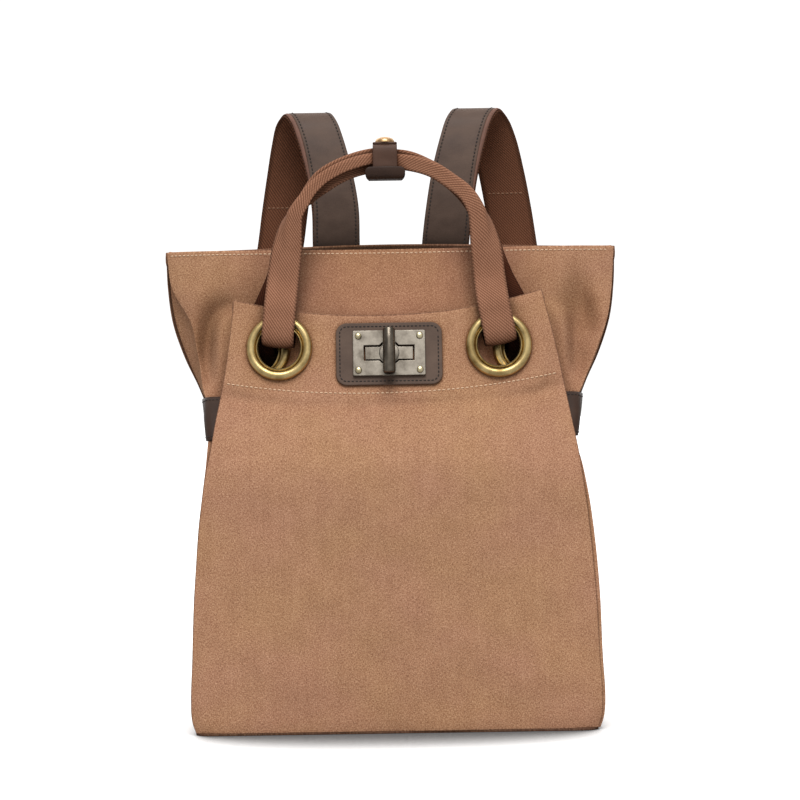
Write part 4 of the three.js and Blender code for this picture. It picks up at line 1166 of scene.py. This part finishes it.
def make_lock():
    place = wall_frame(panel_seat, PANEL_SHIFT, LOCK_HEIGHT)
    slot = slot_outline(0)
    boss = slot_outline(-SLOT_CLEARANCE)
    plate = rounded_box(PLATE, steps=3)
    layers = [
        # name, outlines, foot, size, finish, slot, nodes
        ("lock_patch_leather", [rounded_box(PATCH), slot], GAP, PATCH, leather, "leather", ["lock_patch"]),
        ("lock_plate_metal", [plate, slot], PLATE_FOOT, PLATE, nickel, "nickel", ["lock_plate"]),
        ("lock_flange_metal", [rounded_box(FLANGE)], POST_FOOT, FLANGE, bar_nickel, "nickel", []),
        ("lock_boss_metal", [boss], POST_FOOT, BOSS, nickel, "nickel", ["lock_post"]),
    ]
    for name, outlines, foot, size, *look in layers:
        add_piece(slab(name, outlines, foot, size, place), *look)
    ring = [(radius, BOSS_FACE + up) for radius, up in COLLAR_PROFILE]
    add_piece(lathe("lock_collar_metal", ring, place, FACETS["collar"]), nickel, "nickel")
    seam = rounded_box(PATCH, PATCH_STITCH)
    x, y = np.vstack([seam, seam[:1]]).T
    loop = stacked(x, y, GAP + LEATHER)
    leather_lines.append((placed(loop, place), place[:3, 2]))
    make_bar(place)
    make_rivets(place)


def make_bar(place):
    half = [(radius, BAR["length"] / 2 - back) for radius, back in BAR_END]
    profile = half + [(radius, -along) for radius, along in reversed(half)]
    lying = shifted(0, 0, BAR_AXIS)
    lying[:3, :3] = [[1, 0, 0], [0, 0, -1], [0, 1, 0]]
    mesh = lathe("lock_bar_metal", profile, place @ lying, FACETS["bar"], SHARP["bar"])
    add_piece(mesh, bar_nickel, "nickel", ["lock_bar"], "turn_bar")
    stem = [(BAR["stem"], PLATE_FACE - BAR["stem_depth"]), (BAR["stem"], BAR_AXIS)]
    add_piece(lathe("lock_stem_metal", stem, place, FACETS["stem"]), nickel, "nickel", (), "turn_bar")


def make_rivets(place):
    turns = np.linspace(0, math.pi / 2, RIVET["steps"])
    radii = np.maximum(RIVET["radius"] * np.cos(turns), RIVET["tip"])
    heights = RIVET["foot"] + (RIVET["height"] - RIVET["foot"]) * np.sin(turns)
    dome = [(RIVET["radius"], 0), *zip(radii, heights)]
    for side, sign in SIDES.items():
        for row, up in (("top", RIVET["up"]), ("bottom", -RIVET["up"])):
            local = shifted(sign * RIVET["x"], up, PLATE_FACE + GAP)
            node = f"lock_rivet_{row}_{side}"
            mesh = lathe(f"{node}_dome", dome, place @ local, FACETS["rivet"])
            add_piece(mesh, rivet_brass, "brass", [node])


# Handles lie flat in their legs and fold in half over the arch, with their edges down
def handle_course(wall, eyelet, legs, arch):
    """Rows of place, fold and yaw from the left tail to the right tail."""

    def half(side, sign):
        x = eyelet_x(eyelet, sign)
        rows = []
        for up, out in THREADING:
            z = eyelet["z"] + up
            yaw = math.asin(abs(wall_normal(wall, x, z)[0]))
            outward = legs[side]["aside"] - legs[side]["lean"] * up
            rows.append((*off_wall(wall, x + sign * outward, z, out), 0, yaw))
        yaw = math.asin(abs(wall_normal(wall, x, eyelet["z"])[0]))
        for i, (arch_x, y, z, fold, inset) in enumerate(arch):
            share = 1 - i / (len(arch) - 1)
            nearer = inset if sign > 0 else 0
            rows.append((sign * (arch_x - nearer) + eyelet["shift"] * share, y, z, fold, yaw * share**3))
        return rows

    left, right = (half(side, sign) for side, sign in SIDES.items())
    return np.array(left + right[-2::-1])


def evenly(points, last, spacing):
    """Places along a curve at an even spacing."""
    fine = np.linspace(0, last, CURVE_POINTS)
    run = lengths(curve_through(points, fine))
    return np.interp(np.linspace(0, run[-1], round(run[-1] / spacing)), run, fine)


def handle_axes(course, legs, k):
    """Directions outwards across a handle, and out of its back, at places along it."""
    last = len(course) - 1
    leg = len(THREADING) - 1
    along = tangents(course[:, :3], k)
    on_left = np.clip(1 + leg - k, 0, 1)[:, None]
    on_right = np.clip(1 + leg - (last - k), 0, 1)[:, None]
    left_leg = np.array([legs["left"]["lean"], 0, 1.0])
    right_leg = np.array([legs["right"]["lean"], 0, -1.0])
    heading = along * (1 - on_left - on_right) + left_leg * on_left + right_leg * on_right
    yaw = np.interp(k, np.arange(last + 1), course[:, 4])[:, None]
    out = unit(stacked(-heading[:, 2], 0, heading[:, 0])) * np.cos(yaw)
    out[:, 1] = np.sin(yaw[:, 0])
    back = unit(np.cross(out, along))
    return np.cross(along, back), back


def folded_section(fold, shift):
    """Places across a handle, and their distances outwards and backwards, for each share of the fold."""
    even = np.linspace(-1, 1, HANDLE_GRID["across"])
    crowded = (1 - HANDLE_GRID["even"]) * even**3 + HANDLE_GRID["even"] * even
    places = crowded * (HANDLE_WIDTH - WEBBING) / 2 + shift
    middle = (places[:, 1:] + places[:, :-1]) / 2
    share = np.clip((middle + FOLD_HALF_LENGTH) / (2 * FOLD_HALF_LENGTH), 0, 1)
    turn = fold * FULL_FOLD * share
    step = np.diff(places, axis=1)
    start = np.zeros((len(fold), 1))
    out = np.concatenate([start, (step * np.cos(turn)).cumsum(1)], axis=1)
    back = np.concatenate([start, (step * np.sin(turn)).cumsum(1)], axis=1)
    out = out - (out.max(1, keepdims=True) + out.min(1, keepdims=True)) / 2
    back = back - (back.max(1, keepdims=True) + back.min(1, keepdims=True)) / 2
    return places, out, back


def make_handle(name, finish, wall, eyelet, legs, arch):
    course = handle_course(wall, eyelet, legs, arch)
    last = len(course) - 1
    k = evenly(course[:, :3], last, HANDLE_GRID["pitch"])
    centre = curve_through(course[:, :3], k)
    out_axis, back_axis = handle_axes(course, legs, k)
    fold = np.interp(k, np.arange(last + 1), course[:, 3])[:, None]
    shift = LOWER_PLY * fold * (k < last / 2)[:, None]
    places, out, back = folded_section(fold, shift)
    from_end = np.minimum(k, last - k)[:, None]
    cup = HANDLE_CUP["depth"] * np.exp(-(((from_end - HANDLE_CUP["place"]) / HANDLE_CUP["reach"]) ** 2))
    back = back - cup * (1 - (2 * places / HANDLE_WIDTH) ** 2)
    grid = centre[:, None] + out[..., None] * out_axis[:, None] + back[..., None] * back_axis[:, None]
    run = lengths(centre)
    from_top = (run - run[-1] / 2)[:, None]
    grid = grid + grid_normals(grid) * WEBBING / 2
    mesh = shell(f"{name}_webbing", grid, WEBBING, stacked(places, from_top))
    add_piece(mesh, finish, "webbing", [name])


def band(name, course, thickness):
    """A strap in the plane of y and z with a width at each point of its course."""
    course = np.array(course, float)
    path = curve_through(course, np.linspace(0, len(course) - 1, BAND_GRID["along"]))
    x = KEEPER_X + np.linspace(-1, 1, BAND_GRID["across"]) * path[:, 2:]
    grid = stacked(x, path[:, :1], path[:, 1:2])[:, ::-1]
    grid = grid + grid_normals(grid) * thickness / 2
    return shell(name, grid, thickness, stacked(x, lengths(path[:, :2])[:, None]))


def make_keeper():
    tongue = [(y, z, KEEPER_HALF) for y, z in KEEPER_COURSE]
    add_piece(band("handle_keeper_leather", tongue, LEATHER), keeper_leather, "leather", ["handle_keeper"])
    # The cradle is dark leather, partly painting the shade under the handles
    add_piece(band("handle_keeper_cradle", CRADLE_COURSE, CRADLE_THICKNESS), dark_leather, "dark_leather")
    mesh = lathe("keeper_snap_cap", SNAP_PROFILE, shifted(KEEPER_X, SNAP_Y, SNAP_FOOT), FACETS["snap"])
    add_piece(mesh, snap_brass, "brass", ["keeper_snap"])


# Shoulder straps: webbing all the way, faced with leather from the root over the arch, level across
def strap_line(sign, last, offset):
    """Points along a strap at a distance outside its course, the directions outside, and places along it."""
    left, right, y, z, lift = np.array(STRAP_COURSE).T
    rows = np.column_stack([right, y, z + lift] if sign > 0 else [-left, y, z])
    k = evenly(rows, last, STRAP_GRID["pitch"])
    outside = unit(np.cross([1.0, 0, 0], tangents(rows, k)))
    return curve_through(rows, k) + offset * outside, outside, k


def strap_grid(line, across):
    """Points at distances across a strap's line, and their cloth coordinates."""
    grid = stacked(line[:, :1] + across, line[:, 1:2], line[:, 2:])
    return grid, stacked(across, lengths(line)[:, None])


def add_strap_seam(sign, facing, height, reach):
    """A row of stitches across a strap's outside or inside, at a height, in a reach of its course."""
    line, outside, k = strap_line(sign, reach[1], -GAP / 2 - (WEBBING if facing < 0 else 0))
    at = np.argmin(np.where(k < reach[0], np.inf, np.abs(line[:, 2] - height)))
    across = np.linspace(-1, 1, ROW_POINTS["strap"]) * (STRAP_WIDTH / 2 - SEAM_INSET)
    row = line[at] + across[:, None] * np.array([1.0, 0, 0])
    seam_lines.append((row, facing * outside[at]))


def make_strap(side, sign):
    half = STRAP_WIDTH / 2
    last = len(STRAP_COURSE) - 1
    line, _, _ = strap_line(sign, last, -GAP / 2)
    grid, uv = strap_grid(line, np.linspace(-half, half, STRAP_GRID["webbing"]))
    mesh = shell(f"strap_webbing_{side}_ply", grid, WEBBING, uv)
    add_piece(mesh, strap_webbing, "webbing", [f"strap_webbing_{side}"])

    line, outside, k = strap_line(sign, STRAP_LEATHER["last"], GAP / 2 + STRAP_LEATHER["thick"])
    bare = np.interp(k, LEATHER_BARE["places"], LEATHER_BARE["widths"])[:, None]
    low = -half + (bare if sign < 0 else 0 * bare)
    high = half - (bare if sign > 0 else 0 * bare)
    grid, uv = strap_grid(line, low + (high - low) * np.linspace(0, 1, STRAP_GRID["leather"]))
    mesh = shell(f"strap_leather_{side}_ply", grid, STRAP_LEATHER["thick"], uv)
    add_piece(mesh, strap_leather, "leather", [f"strap_leather_{side}"])
    seams, _ = strap_grid(line, np.hstack([low + STRAP_LEATHER["stitch"], high - STRAP_LEATHER["stitch"]]))
    for n in range(2):
        leather_lines.append((seams[:, n], outside))

    line, outside, k = strap_line(sign, STRAP_LEATHER["last"], GAP / 2 + EDGE_BAND["thick"])
    covered = k > EDGE_BAND["start"]
    inner = bare[covered] - EDGE_BAND["inset"]
    shares = np.linspace(0, 1, STRAP_GRID["band"])
    across = sign * (half - inner + (inner - EDGE_BAND["inset"]) * shares[::sign])
    grid, uv = strap_grid(line[covered], across)
    rise = EDGE_BAND["crown"] * (1 - (2 * shares - 1) ** 2)
    grid = grid + rise[None, :, None] * outside[covered][:, None]
    mesh = shell(f"strap_edge_{side}_band", grid, EDGE_BAND["thick"], uv)
    add_piece(mesh, edge_leather, "leather")

    for height in ROOT_SEAMS:
        add_strap_seam(sign, -1, height, (0, ARCH_TOP))
    add_strap_seam(sign, -1, CROSS_SEAM[side], (ARCH_TOP, STRAP_LEATHER["last"]))
    for height in FOOT_SEAMS:
        add_strap_seam(sign, 1, height, (ARCH_TOP, last))


make_sack_front()
make_sack_back()
make_base()
make_panel()
make_eyelets()
make_lock()
make_handle("handle_front", webbing, panel_seat, FRONT_EYELET, FRONT_LEGS, FRONT_ARCH)
make_handle("handle_rear", rear_webbing, sack_seat, REAR_EYELET, REAR_LEGS, REAR_ARCH)
make_keeper()
for side_name, side_sign in SIDES.items():
    make_gusset(side_name, side_sign)
    make_tab(side_name, side_sign)
    make_strap(side_name, side_sign)
add_piece(stitches("canvas_stitches", canvas_lines, CANVAS_STITCH), tan_thread, "canvas")
add_piece(stitches("strap_stitches", seam_lines, CANVAS_STITCH), brown_thread, "webbing")
add_piece(stitches("leather_stitches", leather_lines, LEATHER_STITCH), dark_thread, "dark_leather")


# Studio: a pale floor that runs into a white background, and large soft lights in front, above and behind
Sun = namedtuple("Sun", "name azimuth elevation softness strength")
SUNS = [
    Sun("key", 0, 56, 36, 2.92),
    Sun("front", 12, 14, 90, 0.4),
    Sun("rear", 185, 40, 90, 1.9),
]
FLOOR = {"reach": 40, "lit": 0.45, "glow": 0.3}
# Painted contact shadow on the floor: how far the bag is looked for, with how many rays and which way, and
# the floor's shade by how open it is
CONTACT = {"reach": 0.17, "samples": 24, "towards": (0, 0.9, 0.45)}
CONTACT_SHADE = [(0.36, 0.1), (0.5, 0.36), (0.66, 0.8), (0.76, 1.0)]
SKY = {"shown": 1.1, "gloss": 0.5, "lit": 0.12}


def grey(level):
    return (level, level, level, 1)


def make_floor():
    """A floor that is pale to the camera, with a painted contact shadow in its colour and glow, and throws
    less light back at the bag.
    """
    reach = FLOOR["reach"]
    corners = [(-reach, -reach, 0), (reach, -reach, 0), (reach, reach, 0), (-reach, reach, 0)]
    mesh = bpy.data.meshes.new("floor")
    mesh.from_pydata(corners, [], [(0, 1, 2, 3)])
    finish = Finish("floor", Roughness=0.9, Specular_IOR_Level=0.0, Emission_Strength=FLOOR["glow"])
    towards = finish.node("CombineXYZ", dict(enumerate(CONTACT["towards"]))).outputs[0]
    near = {"Distance": CONTACT["reach"], "Normal": towards}
    open_share = finish.node("AmbientOcclusion", near, samples=CONTACT["samples"]).outputs["AO"]
    shade = finish.ramp(open_share, *CONTACT_SHADE)
    finish.link("Base Color", shade)
    finish.link("Emission Color", shade)
    dull = finish.node("BsdfDiffuse", {"Color": grey(FLOOR["lit"])}).outputs[0]
    seen = finish.node("LightPath").outputs["Is Camera Ray"]
    mixed = finish.node("MixShader", {0: seen, 1: dull, 2: finish.shader.outputs[0]}).outputs[0]
    finish.tree.links.new(mixed, finish.tree.nodes["Material Output"].inputs["Surface"])
    mesh.materials.append(finish.material)
    floor = add_object("floor", mesh)


def make_world():
    """White where the camera sees it, dimmer in reflections, and faint as light."""
    world = bpy.data.worlds.new("studio")
    bpy.context.scene.world = world
    world.use_nodes = True
    tree = world.node_tree
    path = tree.nodes.new("ShaderNodeLightPath")
    shade = tree.nodes["Background"]
    shade.inputs["Color"].default_value = grey(1)
    shade.inputs["Strength"].default_value = SKY["lit"]
    for ray, glow in (("Is Glossy Ray", SKY["gloss"]), ("Is Camera Ray", SKY["shown"])):
        brighter = tree.nodes.new("ShaderNodeBackground")
        brighter.inputs["Color"].default_value = grey(1)
        brighter.inputs["Strength"].default_value = glow
        mix = tree.nodes.new("ShaderNodeMixShader")
        tree.links.new(path.outputs[ray], mix.inputs[0])
        tree.links.new(shade.outputs[0], mix.inputs[1])
        tree.links.new(brighter.outputs[0], mix.inputs[2])
        shade = mix
    tree.links.new(shade.outputs[0], tree.nodes["World Output"].inputs[0])


def make_sun(row):
    """A soft sun: azimuth 0 is in front, and positive turns to the right."""
    sun = bpy.data.lights.new(row.name, "SUN")
    sun.angle = math.radians(row.softness)
    sun.energy = row.strength
    turn = Matrix.Rotation(math.radians(row.azimuth), 4, "Z")
    tip = Matrix.Rotation(math.radians(90 - row.elevation), 4, "X")
    add_object(row.name, sun).matrix_world = turn @ tip


def make_camera():
    data = bpy.data.cameras.new("camera")
    data.sensor_width = SENSOR
    data.lens = FOCAL_PX / FRAME_PX * SENSOR
    data.clip_end = SIGHT
    camera = add_object("camera", data)
    level = Matrix.Rotation(math.pi / 2, 4, "X")
    camera.matrix_world = Matrix.Translation(CAMERA_PLACE) @ level @ Matrix.Rotation(CAMERA_ROLL, 4, "Z")
    bpy.context.scene.camera = camera


make_floor()
make_world()
for sun_row in SUNS:
    make_sun(sun_row)
make_camera()
bpy.context.scene.view_settings.view_transform = "Standard"
